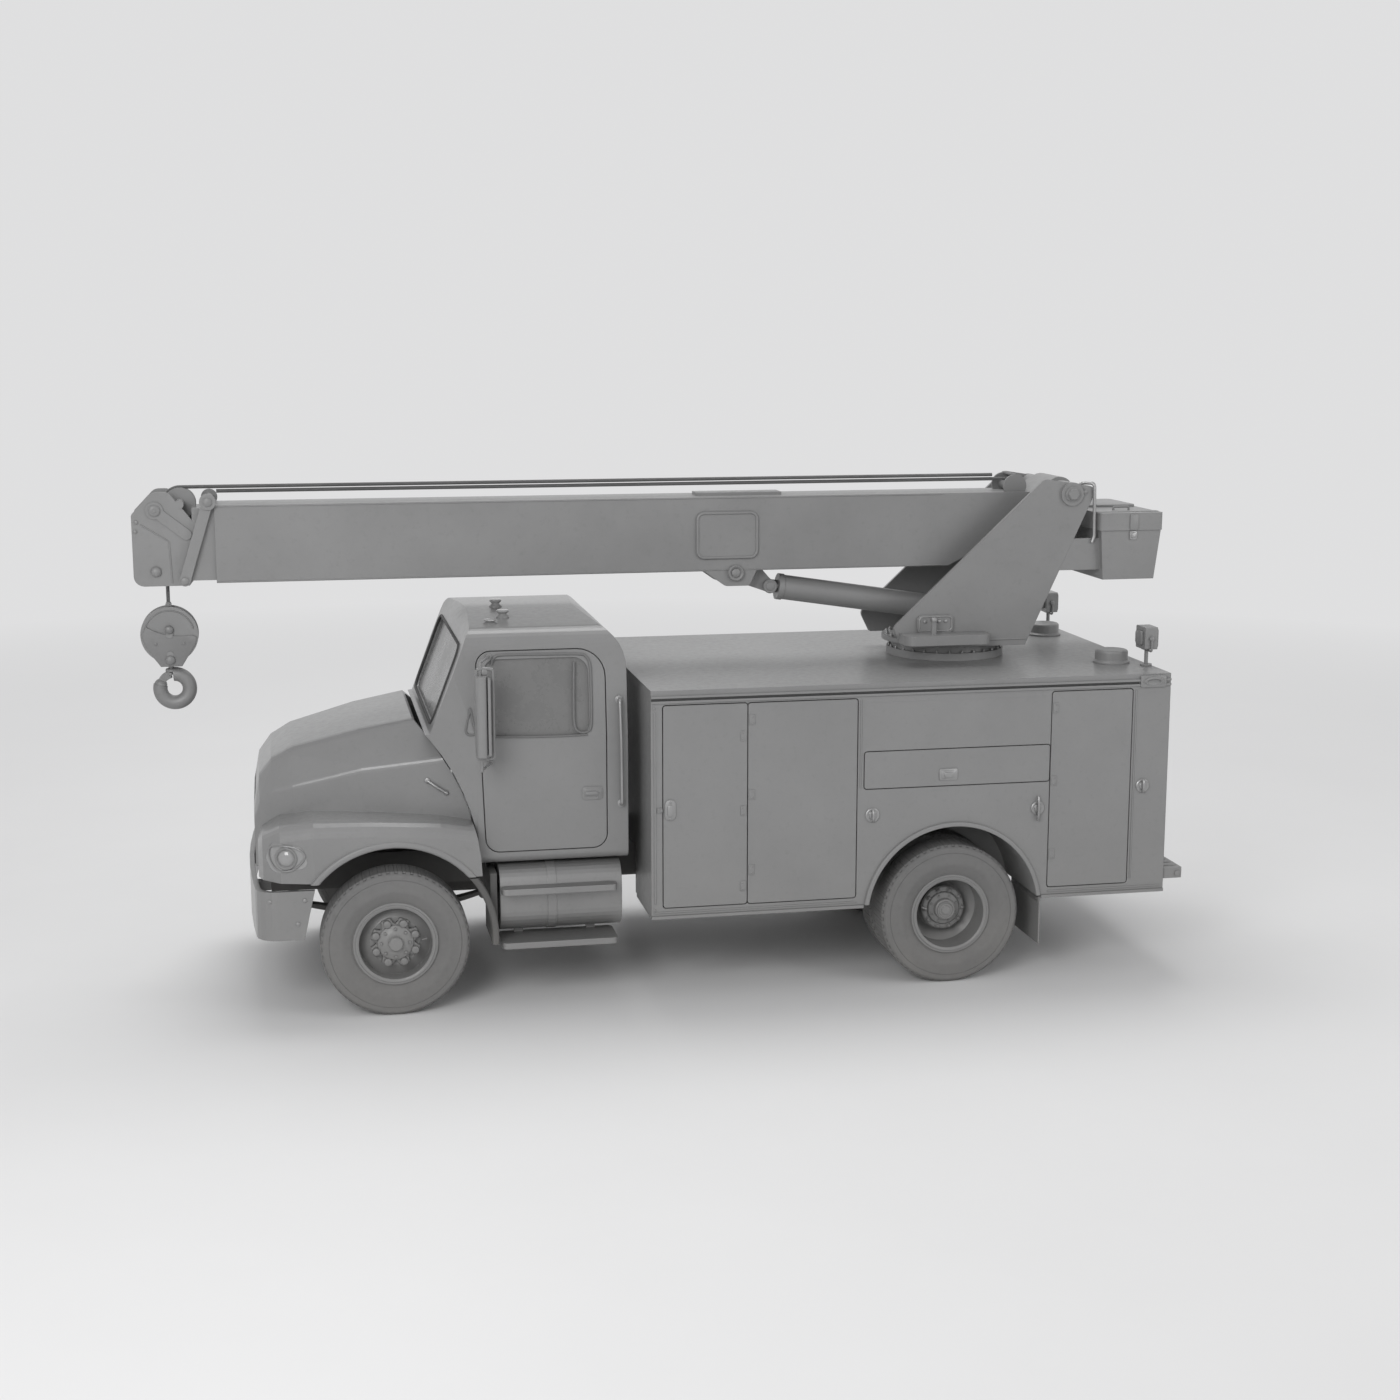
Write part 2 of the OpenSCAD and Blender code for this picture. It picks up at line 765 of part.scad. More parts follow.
// The cab as a block drawn in by inset all round; its front follows the hood's seam
module cab_block(inset) {
  difference() {
    intersection() {
      y_slab(cab_side(inset), -cab_y, cab_y);
      x_slab(cab_front(inset), cab_x, far_x);
      z_slab(cab_plan(inset), cab_low_z, cab_roof_z);
    }
    rod_y(tilt_x, tilt_z, seam_r + cowl_gap + inset, -box_y, box_y);
  }
}

// Door and window outlines, drawn from the side
door_front_low = 974;
door_front_high = 1022;
door_rear = 150;
door_low_x = cab_x + door_front_low;
door_high_x = cab_x + door_front_high;
door_rear_x = cab_x + door_rear;
door_low_z = 1070;
door_high_z = 2437;
door_r = 95;
window_low_z = 1862;
window_high_z = 2385;
window_front_in = 52;
window_rear_in = 112;
window_r = 70;
screen_y = 800;
screen_low_z = 1925;
screen_high_z = 2460;
screen_r = 90;
back_y = 620;
back_low_z = 1900;
back_high_z = 2380;

function door_front_x(z) =
  door_low_x + (door_high_x - door_low_x) * (z - door_low_z) / (door_high_z - door_low_z);

function door_outline(grow) = rounded([
    [door_rear_x - grow, door_low_z - grow], [door_front_x(door_low_z) + grow, door_low_z - grow],
    [door_front_x(door_high_z) + grow, door_high_z + grow], [door_rear_x - grow, door_high_z + grow]
  ], [door_r + grow, door_r + grow, door_r + grow, door_r * 2 + grow], 7);

function window_outline(grow) = rounded([
    [door_rear_x + window_rear_in - grow, window_low_z - grow],
    [door_front_x(window_low_z) - window_front_in + grow, window_low_z - grow],
    [door_front_x(window_high_z) - window_front_in + grow, window_high_z + grow],
    [door_rear_x + window_rear_in - grow, window_high_z + grow]
  ], [window_r + grow, window_r + grow, window_r + grow, window_r * 1.5 + grow], 6);

module door_prism(grow, y0 = cab_y / 2) {
  y_slab(door_outline(grow), y0, box_y);
}

module window_prism(grow) {
  y_slab(window_outline(grow), cab_y / 2, box_y);
}

module screen_prism(grow) {
  x_slab(rrect([-screen_y - grow, screen_low_z - grow], [screen_y + grow, screen_high_z + grow],
                        screen_r + grow), cab_x + roof_ahead / 2, far_x);
}

module back_prism(grow) {
  x_slab(rrect([-back_y - grow, back_low_z - grow], [back_y + grow, back_high_z + grow],
                        screen_r + grow), cab_x - cut, cab_x + roof_ahead / 2);
}

module cab_skin() {
  difference() {
    cab_block(0);
    cab_block(cab_wall);
  }
}

// Seams between the cab's roof, floor and sides
module cab_seams() {
  y1 = cab_y - cab_wall - tumble;
  for (z = [cab_low_z + cab_wall, cab_roof_z - cab_wall - crown])
    block([cab_x - cut, -y1, z - seat], [far_x, y1, z]);
  pair() block([cab_x - cut, y1, 0], [far_x, y1 + seat, boom_top_z]);
}

module cab_shell() {
  color(paint) placed() {
    difference() {
      cab_skin();
      cab_seams();
      pair() door_prism(door_gap);
      screen_prism(0);
      back_prism(0);
    }
    pair() intersection() {
      difference() {
        cab_block(cab_wall + seat);
        cab_block(cab_wall + lip_t);
      }
      difference() {
        door_prism(door_gap + lip_w, cab_y - tumble * 2);
        door_prism(-lip_w);
      }
    }
    pair() block([cab_x + cab_wall, frame_y - rail_flange, rail_top_z + seat],
                       [cab_x + cab_wall + rail_flange, frame_y, cab_low_z + cab_wall / 2]);
    pair() block([door_low_x - rail_flange, frame_y - rail_flange, rail_top_z + seat],
                       [door_low_x, frame_y, cab_low_z + cab_wall / 2]);
  }
}

module pane_skin() {
  difference() {
    cab_block(pane_in);
    cab_block(pane_in + pane_t);
  }
}

module cab_glass() {
  color(pane) placed() intersection() {
    pane_skin();
    union() {
      screen_prism(-seat);
      back_prism(-seat);
    }
  }
}

module door_panel(side) {
  color(paint) placed() on_side(side) difference() {
    intersection() {
      cab_skin();
      door_prism(0);
    }
    window_prism(0);
  }
}

module cab_door_left() {
  door_panel(1);
}

module cab_door_right() {
  door_panel(-1);
}

module door_pane(side) {
  color(pane) placed() on_side(side) intersection() {
    pane_skin();
    window_prism(-seat);
  }
}

module door_glass_left() {
  door_pane(1);
}

module door_glass_right() {
  door_pane(-1);
}

// Mirror: tall head on a tube loop that stands off the door's front corner
mirror_x = 3290;
mirror_foot_x = 3205;
mirror_low_z = 1690;
mirror_high_z = 2410;
glass_low_z = 1790;
glass_high_z = 2330;
mirror_head_w = 190;
mirror_head_t = 70;
mirror_out = 235;
mirror_tube_r = 11;
mirror_arm_r = 9;
mirror_head_r = 30;
mirror_foot_r = 20;
mirror_foot_t = 12;

// Height of the door's face above z, out from the middle
function face_y(z) = cab_y - max(0, tumble * (z - waist_z) / (cab_roof_z - crown - waist_z));

module mirror_part(side) {
  y1 = cab_y + mirror_out;
  color(dark) placed() on_side(side) {
    for (z = [mirror_low_z, mirror_high_z]) {
      y0 = face_y(z - mirror_foot_r) + seat;
      rod_y(mirror_foot_x, z, mirror_foot_r, y0, y0 + mirror_foot_t);
      rod_between([mirror_foot_x, y0 + mirror_foot_t / 2, z], [mirror_x, y1, z], mirror_arm_r);
    }
    rod_z(mirror_x, y1, mirror_tube_r, mirror_low_z - mirror_tube_r, mirror_high_z + mirror_tube_r);
    z_slab(rrect([mirror_x - mirror_head_t / 2, y1 - mirror_head_w / 2],
                         [mirror_x + mirror_head_t / 2, y1 + mirror_head_w / 2], mirror_head_r),
              glass_low_z, glass_high_z);
  }
}

module mirror_left() {
  mirror_part(1);
}

module mirror_right() {
  mirror_part(-1);
}

// Seats, dashboard and steering wheel
seat_w = 520;
seat_y = 470;
seat_ahead = 330;
seat_x = cab_x + seat_ahead;
seat_len = 500;
seat_high_z = 1500;
seat_t = 130;
seat_back_h = 720;
dash_ahead = 900;
dash_low_z = 1400;
dash_high_z = 1800;
dash_t = 170;
wheel_rim_r = 215;
wheel_tube_r = 16;
wheel_tilt = 62;

module cab_interior() {
  floor_z = cab_low_z + cab_wall;
  dash_x = cab_x + dash_ahead;
  color(dark) placed() {
    for (y = [-seat_y, seat_y]) {
      z_slab(rrect([seat_x, y - seat_w / 2], [seat_x + seat_len, y + seat_w / 2], seat_t / 2),
                seat_high_z - seat_t, seat_high_z);
      block([seat_x + seat_t, y - seat_w / 4, floor_z + seat],
        [seat_x + seat_len - seat_t, y + seat_w / 4, seat_high_z - seat_t]);
      x_slab(rrect([y - seat_w / 2, seat_high_z], [y + seat_w / 2, seat_high_z + seat_back_h], seat_t / 2),
                 seat_x - seat_t / 2, seat_x + seat_t / 2);
    }
    intersection() {
      y_slab(rounded([
        [dash_x - dash_t, dash_low_z], [dash_x, floor_z + seat], [dash_x + dash_t * 2, floor_z + seat],
        [dash_x + dash_t * 2, dash_high_z], [dash_x - dash_t, dash_high_z]
      ], [0, 0, 0, 0, dash_t / 3]), -cab_y + cab_wall * 4, cab_y - cab_wall * 4);
      cab_block(cab_wall + seat);
    }
    translate([dash_x - dash_t, seat_y, dash_high_z - dash_t / 2]) rotate([0, -wheel_tilt, 0]) {
      translate([0, 0, dash_t]) rotate_extrude() translate([wheel_rim_r, 0]) circle(wheel_tube_r, $fn = 16);
      translate([-wheel_rim_r, -wheel_tube_r, dash_t - wheel_tube_r / 2])
        cube([wheel_rim_r * 2, wheel_tube_r * 2, wheel_tube_r]);
      translate([0, 0, -dash_t / 2]) cylinder(r = wheel_tube_r * 2, h = dash_t * 1.5);
    }
  }
}

// Tanks under the cab doors with their straps, and the two steps outside each
tank_x = 2328;
tank_front_x = 3165;
tank_gap = 90;
tank_in_y = frame_y + tank_gap;
tank_out_y = 1065;
tank_low_z = 505;
tank_high_z = 965;
tank_r = 150;
strap_w = 60;
strap_t = 6;
strap_share = 0.54;
bracket_shares = [0.2, 0.8];
step_out_y = 1172;
step_in_y = 860;
step_t = 42;
step_upper_z = 845;
step_lower_z = 470;
step_rear_x = 2372;
step_r = 40;
step_leg_w = 36;

module tank_section(grow) {
  polygon(rrect([tank_in_y - grow, tank_low_z - grow], [tank_out_y + grow, tank_high_z + grow],
                tank_r + grow, 8));
}

module fuel_tanks() {
  len = tank_front_x - tank_x;
  color(steel) placed() pair() {
    translate([tank_x, 0, 0]) rotate([90, 0, 90]) linear_extrude(len) tank_section(0);
    translate([tank_x + strap_share * len, 0, 0]) rotate([90, 0, 90])
      linear_extrude(strap_w) tank_section(strap_t);
    for (s = bracket_shares)
      block([tank_x + s * len, frame_y + seat, rail_low_z + rail_t],
            [tank_x + s * len + strap_w, tank_in_y + tank_r, rail_top_z - member_w]);
  }
}

// Tread with a round front edge
module step_tread(z, y0) {
  z_slab(rrect([step_rear_x, y0], [tank_front_x, step_out_y], step_r), z - step_t, z);
}

module cab_steps() {
  len = tank_front_x - tank_x;
  color(paint) placed() pair() {
    step_tread(step_upper_z, tank_out_y + strap_t + seat);
    step_tread(step_lower_z, step_in_y);
    for (s = bracket_shares)
      block([tank_x + s * len, step_in_y, step_lower_z - step_t],
            [tank_x + s * len + strap_w, step_in_y + step_leg_w, tank_low_z - seat]);
  }
}

// Service body: closed box with side lockers, a middle aisle and wheel wells
aisle_y = 580;
locker_in_y = 620;
roof_t = 65;
aisle_floor_t = 45;
aisle_floor_z = rail_top_z + aisle_floor_t;
well_r = 620;
well_z = 528;
well_in_y = 600;
lip = 30;
locker_low = 56;
locker_high = 105;
front_post = 84;
rear_post = 282;
front_door_w = 585;
mid_door_w = 771;
rear_door_w = 594;
upper_front_x = 655;
upper_rear_x = -689;
upper_low_z = 1442;
upper_high_z = 1700;
upper_floor_z = well_z + well_r + box_wall;
seam_x = box_front_x - front_post - front_door_w;
rear_door_x = box_rear_x + rear_post;
low_z = box_low_z + locker_low;
high_z = box_top_z - locker_high;
door_r_small = 18;

// Locker doors: rear x, front x, low z, high z
locker_doors = [
  [seam_x + door_gap / 2, box_front_x - front_post, low_z, high_z],
  [seam_x - mid_door_w, seam_x - door_gap / 2, low_z, high_z],
  [upper_rear_x, upper_front_x, upper_low_z, upper_high_z],
  [rear_door_x, rear_door_x + rear_door_w, low_z, high_z]
];

// Spaces behind the doors: rear x, front x, low z
locker_spaces = [
  [seam_x + lip, box_front_x - box_wall, low_z],
  [well_r + box_wall, seam_x - lip, low_z],
  [-well_r - box_wall, well_r + box_wall / 2, upper_floor_z],
  [box_rear_x + box_wall, -well_r - box_wall * 2, low_z]
];

function locker_outline(d, grow) =
  rrect([d[0] - grow, d[2] - grow], [d[1] + grow, d[3] + grow], door_r_small + max(grow, 0));

// Back door of the aisle
back_door_y = 430;
back_door_z0 = 1060;
back_door_z1 = 2060;
back_r = 60;

function back_outline(grow) =
  rrect([-back_door_y - grow, back_door_z0 - grow], [back_door_y + grow, back_door_z1 + grow],
             back_r + grow);

pedestal_r = 300;
pedestal_gap = 8;

// Seams between the body's panels: roof, ends, skins, partitions and floor
module body_seams() {
  x0 = box_rear_x + box_wall;
  x1 = box_front_x - box_wall;
  x2 = rear_door_x + rear_door_w / 2;
  x3 = seam_x - mid_door_w / 2;
  y1 = box_y - box_wall - lip;
  z0 = box_low_z - cut;
  z1 = box_top_z - roof_t;
  block([x0 - box_y, -box_w, z1 - seat], [x1 + box_y, box_w, z1]);
  for (x = [x0, x1 - seat])
    block([x, -y1, z0], [x + seat, y1, z1]);
  for (z = [back_door_z0 + lip, back_door_z1 - lip - seat])
    block([x0 - box_y, -y1, z], [x0, y1, z + seat]);
  pair() {
    block([x0 - box_y, y1 - seat, z0], [x1 + box_y, y1, z1]);
    block([x0, locker_in_y, z0], [x1, locker_in_y + seat, z1]);
    block([x0, aisle_y, z0], [x1, aisle_y + seat, aisle_floor_z + cut]);
    block([x0, locker_in_y, low_z - seat], [x1, y1, low_z]);
    block([x2, locker_in_y, upper_floor_z - seat], [x3, y1, upper_floor_z]);
    for (z = [low_z + lip, high_z - lip - seat])
      block([x0 - box_y, y1, z], [x1 + box_y, box_w, z + seat]);
    for (z = [upper_low_z + lip, upper_high_z - lip - seat])
      block([x2, y1, z], [x3, box_w, z + seat]);
  }
}

module service_body() {
  color(paint) placed() difference() {
    block([box_rear_x, -box_y, box_low_z], [box_front_x, box_y, box_top_z]);
    block([box_rear_x + box_wall, -aisle_y, aisle_floor_z],
          [box_front_x - box_wall, aisle_y, box_top_z - roof_t]);
    block([box_rear_x - cut, -aisle_y, box_low_z - cut], [box_front_x + cut, aisle_y, rail_top_z + seat]);
    x_slab(back_outline(door_gap), box_rear_x - cut, box_rear_x + box_wall / 2 + seat);
    x_slab(back_outline(-lip), box_rear_x - cut, box_rear_x + box_wall + cut);
    rod_z(slew_x, 0, pedestal_r + pedestal_gap, aisle_floor_z - box_wall - cut, box_top_z + cut);
    body_seams();
    pair() {
      rod_y(0, well_z, well_r, well_in_y, box_y + cut);
      for (s = locker_spaces)
        block([s[0], locker_in_y, s[2]], [s[1], box_y - box_wall - lip, box_top_z - roof_t]);
      for (d = locker_doors) {
        y_slab(locker_outline(d, door_gap), box_y - box_wall - seat, box_y + cut);
        y_slab(locker_outline(d, -lip), box_y - box_wall - lip - cut, box_y + cut);
      }
    }
  }
}

module locker_door(i, side) {
  color(paint) placed() on_side(side)
    y_slab(locker_outline(locker_doors[i], 0), box_y - box_wall, box_y);
}

module locker_door_left_front() {
  locker_door(0, 1);
}

module locker_door_left_mid() {
  locker_door(1, 1);
}

module locker_door_left_upper() {
  locker_door(2, 1);
}

module locker_door_left_rear() {
  locker_door(3, 1);
}

module locker_door_right_front() {
  locker_door(0, -1);
}

module locker_door_right_mid() {
  locker_door(1, -1);
}

module locker_door_right_upper() {
  locker_door(2, -1);
}

module locker_door_right_rear() {
  locker_door(3, -1);
}

module rear_door() {
  color(paint) placed() x_slab(back_outline(0), box_rear_x - box_wall / 2, box_rear_x + box_wall / 2);
}

// Drip rails, arch lips, sills and mud flaps
trim_t = 12;
drip_h = 16;
drip_gap = 34;
drip_z = 2094;
sill_h = 22;
arch_lip_w = 32;
arch_lip_out = 22;
flap_x = -660;
flap_t = 10;
flap_low_z = 240;
flap_in_y = 600;
flap_out_y = 1170;

module body_trim() {
  color(paint) placed() pair() {
    for (z = [drip_z, drip_z + drip_gap])
      block([box_rear_x, box_y + seat, z], [box_front_x, box_y + trim_t, z + drip_h]);
    intersection() {
      translate([0, 0, well_z]) rotate([-90, 0, 0]) rotate_extrude($fn = 96)
        polygon(rounded([
          [well_r, box_y + seat], [well_r + arch_lip_w, box_y + seat],
          [well_r + arch_lip_w, box_y + arch_lip_out], [well_r, box_y + arch_lip_out]
        ], [0, 0, trim_t, trim_t / 2], 3));
      block([-box_y, 0, box_low_z], [box_y, box_y * 2, box_top_z]);
    }
    for (x = [[box_rear_x, -well_r - arch_lip_w], [well_r + arch_lip_w, box_front_x]])
      block([x[0], locker_in_y, box_low_z - sill_h], [x[1], box_y + trim_t, box_low_z - seat]);
    block([flap_x - flap_t, flap_in_y, flap_low_z], [flap_x, flap_out_y, box_low_z - sill_h]);
  }
}

ledge_out = 155;
ledge_low_z = 680;
ledge_high_z = 754;
ledge_y = 1200;

module rear_bumper() {
  x1 = box_rear_x - seat;
  color(paint) placed() {
    z_slab(rrect([x1 - ledge_out, -ledge_y], [x1, ledge_y], door_r_small),
              ledge_low_z, ledge_high_z);
    pair() block([x1 - door_r_small, hitch_y, ledge_low_z],
                       [rail_rear_x - hitch_t - seat, frame_y, ledge_high_z]);
  }
}

// Roof: two capped vents and two work lamps on posts
vent_x = -1344;
vent_y = 690;
vent_r = 118;
vent_h = 96;
lamp_post_x = -1535;
lamp_post_ys = [870, -1100];
lamp_post_r = 14;
lamp_post_h = 125;
lamp_w = 165;
lamp_h = 160;
lamp_d = 95;

module roof_fittings() {
  z0 = box_top_z + seat;
  color(paint) placed() {
    for (y = [-vent_y, vent_y])
      translate([vent_x, y, z0]) rotate_extrude() polygon(rounded([
        [0, 0], [vent_r * 1.12, 0], [vent_r * 1.12, trim_t], [vent_r, trim_t * 2], [vent_r, vent_h], [0, vent_h]
      ], [0, 0, 0, 0, trim_t * 1.5, 0], 4));
    for (y = lamp_post_ys) {
      rod_z(lamp_post_x, y, lamp_post_r, z0, z0 + lamp_post_h);
      rod_z(lamp_post_x, y, lamp_post_r * 3, z0, z0 + trim_t);
      x_slab(rrect([y - lamp_w / 2, z0 + lamp_post_h], [y + lamp_w / 2, z0 + lamp_post_h + lamp_h], trim_t),
                 lamp_post_x - lamp_d / 2, lamp_post_x + lamp_d / 2);
    }
  }
}

// Pedestal through the body, with the slew ring on top
flange_t = 56;
ring_low_z = box_top_z + flange_t;
ring_high_z = 2290;
ring_r = 400;
flange_r = 432;
spigot_r = 90;
spigot_h = 30;

module pedestal() {
  color(dark) placed() {
    rod_z(slew_x, 0, pedestal_r, rail_top_z + seat, ring_low_z);
    rod_z(slew_x, 0, flange_r, box_top_z + seat, ring_low_z);
    rod_z(slew_x, 0, ring_r, ring_low_z, ring_high_z);
    rod_z(slew_x, 0, spigot_r, ring_high_z, ring_high_z + spigot_h);
  }
}

// Turret: turntable, two leaning side plates, back web, foot lugs for the lift barrel
turret_t = 28;
table_t = 32;
table_r = 470;
table_front = 462;
table_rear = 469;
nose_z = 2442;
nose_ahead = 537;
top_front_back = 586;
top_rear_back = 994;
turret_top_up = 112;
turret_rear_up = 48;
top_front_z = pivot_z + turret_top_up;
top_rear_z = pivot_z + turret_rear_up;
turret_edge_r = 50;
web_t = 20;
web_drop = 254;
web_top_z = pivot_z - web_drop;
web_low_in = 70;
foot_lug_t = 30;
foot_r = 60;
foot_pin_r = 26;
foot_w = 110;
pivot_boss_r = 118;
pivot_pin_r = 46;
pivot_eye_w = 300;
table_z = ring_high_z + seat;
table_high_z = table_z + table_t;

function turret_side() = rounded([
    [slew_x - table_rear, table_z], [slew_x + table_front, table_z],
    [slew_x + nose_ahead, nose_z], [slew_x - top_front_back, top_front_z],
    [slew_x - top_rear_back, top_rear_z]
  ], [0, turret_edge_r / 2, turret_edge_r, turret_edge_r, turret_edge_r]);

// Point on the back edge of the side plates at height z
function back_x(z) = slew_x - table_rear
  - (top_rear_back - table_rear) * (z - table_z) / (top_rear_z - table_z);

module turret() {
  in_y = turret_y - turret_t;
  color(paint) placed() difference() {
    union() {
      rod_z(slew_x, 0, table_r, table_z, table_high_z);
      pair() {
        y_slab(turret_side(), in_y, turret_y);
        rod_y(pivot_x, pivot_z, pivot_boss_r * 0.72, pivot_eye_w / 2 + boom_y * 0.35, turret_y + web_t);
        rod_y(foot_x, foot_z, foot_r, foot_w / 2 + seat, foot_w / 2 + foot_lug_t);
        y_slab([
          [foot_x - foot_r, table_high_z - web_t], [foot_x + foot_r, table_high_z - web_t],
          [foot_x + foot_r, foot_z], [foot_x - foot_r, foot_z]
        ], foot_w / 2 + seat, foot_w / 2 + foot_lug_t);
      }
      y_slab([
        [back_x(table_z), table_z], [back_x(table_z) + web_low_in, table_z],
        [back_x(web_top_z) + web_t * 2, web_top_z], [back_x(web_top_z), web_top_z]
      ], -in_y, in_y);
      rod_y(pivot_x, pivot_z, pivot_pin_r, -turret_y, turret_y);
      rod_y(foot_x, foot_z, foot_pin_r, -foot_w / 2 - foot_lug_t, foot_w / 2 + foot_lug_t);
    }
    rod_z(slew_x, 0, spigot_r + run, table_z - cut, table_high_z + cut);
  }
}

// Control console on the left: tray, rounded panel and lever
tray_rear_x = -450;
tray_front_x = 190;
tray_out = 190;
tray_t = 70;
tray_z = 2332;
tray_r = 70;
panel_x0 = -210;
panel_x1 = 60;
panel_z0 = 2400;
panel_z1 = 2530;
panel_t = 22;
lever_x = -40;
lever_w = 38;
lever_h = 105;

module console() {
  y0 = turret_y + seat;
  color(paint) placed() {
    z_slab(rounded([
      [tray_rear_x, y0], [tray_front_x, y0], [tray_front_x, y0 + tray_out], [tray_rear_x, y0 + tray_out]
    ], [0, 0, tray_r, tray_r], 6), tray_z, tray_z + tray_t);
    y_slab(rrect([panel_x0, panel_z0], [panel_x1, panel_z1], tray_r / 2), y0, y0 + panel_t);
    translate([lever_x, y0 + tray_out / 2, tray_z + tray_t])
      linear_extrude(lever_h) polygon(rrect([-lever_w / 2, -lever_w / 3],
        [lever_w / 2, lever_w / 3], lever_w / 4));
  }
}

// Toolbox hung behind the turret: tapered tub and a rimmed lid
tub_front_x = -1312;
tub_taper = 45;
tub_y = 500;
tub_drop = 267;
tub_h = 357;
tub_z = pivot_z - tub_drop;
tub_low_z = tub_z - tub_h;
tub_wall = 14;
lid_over = 12;
lid_h = 128;
lid_edge_r = 26;
hanger_up = 70;
hanger_drop = 57;
hanger_low_z = tub_low_z + hanger_up;
hanger_high_z = tub_z - hanger_drop;

module tub(inset, z0, z1) {
  function front(z) = tub_front_x - inset - tub_taper * 0.5 * (tub_z - z) / (tub_z - tub_low_z);
  function back(z) = -rear_reach + lid_over + inset + tub_taper * (tub_z - z) / (tub_z - tub_low_z);
  y_slab([[back(z0), z0], [front(z0), z0], [front(z1), z1], [back(z1), z1]], -tub_y + inset, tub_y - inset);
}

module toolbox() {
  color(paint) placed() {
    difference() {
      tub(0, tub_low_z, tub_z);
      tub(tub_wall, tub_low_z + tub_wall, tub_z + cut);
    }
    pair()
      y_slab([
        [back_x(hanger_low_z) - seat, hanger_low_z], [back_x(hanger_high_z) - seat, hanger_high_z],
        [tub_front_x - tub_wall, hanger_high_z], [tub_front_x - tub_taper * 0.5 - tub_wall / 2, hanger_low_z]
      ], turret_y - turret_t, turret_y);
  }
}

module toolbox_lid() {
  color(paint) placed() difference() {
    z_slab(rrect([-rear_reach, -tub_y - lid_over], [tub_front_x + lid_over, tub_y + lid_over], lid_edge_r),
              tub_z + seat, tub_z + lid_h);
    block([-rear_reach + lid_over + tub_wall, -tub_y + tub_wall, tub_z - cut],
          [tub_front_x - tub_wall, tub_y - tub_wall, tub_z + lid_h - tub_wall]);
  }
}

// Boom: outer box with its tail to the foot pin, lift lugs and wear pads
tail_low_x = -250;
tail_r = 108;
tail_from = 60;
tail_to = 228;
tail_steps = 12;
pad_t = 8.6;
pad_len = 120;
pad_w_share = 0.4;
tip_gap = 9;
lug_x0 = 1187;
lug_x1 = 1584;
lug_drop = 111;
lug_low_z = boom_low_z - lug_drop;
lug_t = 24;
link_r = 50;
link_t = 22;
eye_w = 76;
cover_x0 = 1187;
cover_x1 = 1628;
cover_up = 94;
cover_down = 111;
cover_z0 = boom_low_z + cover_up;
cover_z1 = boom_top_z - cover_down;
cover_r = 45;
cover_t = 10;
plate_x0 = 984;
plate_x1 = 1606;
plate_h = 45;
plate_y = 90;
lug_pin_x = 1345;
lug_pin_drop = 16;
lug_pin_z = boom_low_z - lug_pin_drop;
boss_r = 55;
lug_boss_t = 14;
lug_root_z = boom_low_z + boom_wall / 2;

function boom_side() = concat(
  [[tail_low_x, boom_low_z], [mouth_x, boom_low_z], [mouth_x, boom_top_z], [pivot_x + tail_r * 2, boom_top_z]],
  [for (i = [0:tail_steps]) let (a = tail_from + i * (tail_to - tail_from) / tail_steps)
    [pivot_x, pivot_z] + tail_r * [cos(a), sin(a)]]);

module boom_tube() {
  difference() {
    y_slab(boom_side(), -boom_y, boom_y);
    block([tail_low_x, -boom_y + boom_wall, boom_low_z + boom_wall],
          [mouth_x + cut, boom_y - boom_wall, boom_top_z - boom_wall]);
    rod_y(pivot_x, pivot_z, pivot_pin_r + run, -boom_y - cut, boom_y + cut);
  }
}

// Pads in the mouth that the inner section slides on
module mouth_pads() {
  x0 = mouth_x - pad_len;
  pw = boom_w * pad_w_share;
  ph = (boom_top_z - boom_low_z) * pad_w_share;
  mid = (boom_top_z + boom_low_z) / 2;
  y1 = boom_y - boom_wall;
  for (z = [boom_low_z + boom_wall, boom_top_z - boom_wall - pad_t])
    block([x0, -pw / 2, z], [mouth_x, pw / 2, z + pad_t]);
  pair() block([x0, y1 - pad_t, mid - ph / 2], [mouth_x, y1, mid + ph / 2]);
}

// Lug plates under the boom and the links that hold the rod's eye
module lift_lugs() {
  pair() {
    y_slab(rounded([
      [lug_x0, lug_root_z], [lug_x0 + boss_r, lug_low_z], [lug_x0 + boss_r * 4.2, lug_low_z],
        [lug_x1, lug_root_z]
    ], [0, boss_r / 2, boss_r, 0]), boom_y - lug_t, boom_y);
    rod_y(lug_pin_x, lug_pin_z, boss_r, boom_y, boom_y + lug_boss_t);
    y_slab(rounded([
      [lug_x0 - boss_r, lug_root_z], [eye_x - link_r, eye_z], [eye_x, eye_z - link_r],
      [lug_pin_x, lug_low_z + boss_r / 2], [lug_x1 - boss_r * 2, lug_root_z]
    ], [0, link_r / 2, link_r / 2, 0, 0]), eye_w / 2 + seat, eye_w / 2 + link_t);
    rod_y(eye_x, eye_z, link_r / 2, eye_w / 2 + seat, eye_w / 2 + link_t + lug_boss_t);
  }
}

module boom_base() {
  color(paint) placed() {
    boom_tube();
    mouth_pads();
    lift_lugs();
    pair()
      y_slab(rrect([cover_x0, cover_z0], [cover_x1, cover_z1], cover_r), boom_y, boom_y + cover_t);
    block([plate_x0, -plate_y, boom_top_z], [plate_x1, plate_y, boom_top_z + plate_h / 2]);
  }
}

// Winch on the boom's tail: drum between cheeks under a curved guard
rope_gap = 6;
rope_rise = 84;
rope_low_z = boom_top_z + rope_rise;
rope_high_z = rope_low_z + rope_d + rope_gap;
rope_end_gap = 15;
drum_x = -770;
drum_r = 34;
drum_y = 120;
cheek_t = 16;
cheek_r = 84;
drum_z = rope_low_z - rope_d / 2 - seat - drum_r;
guard_t = 8;

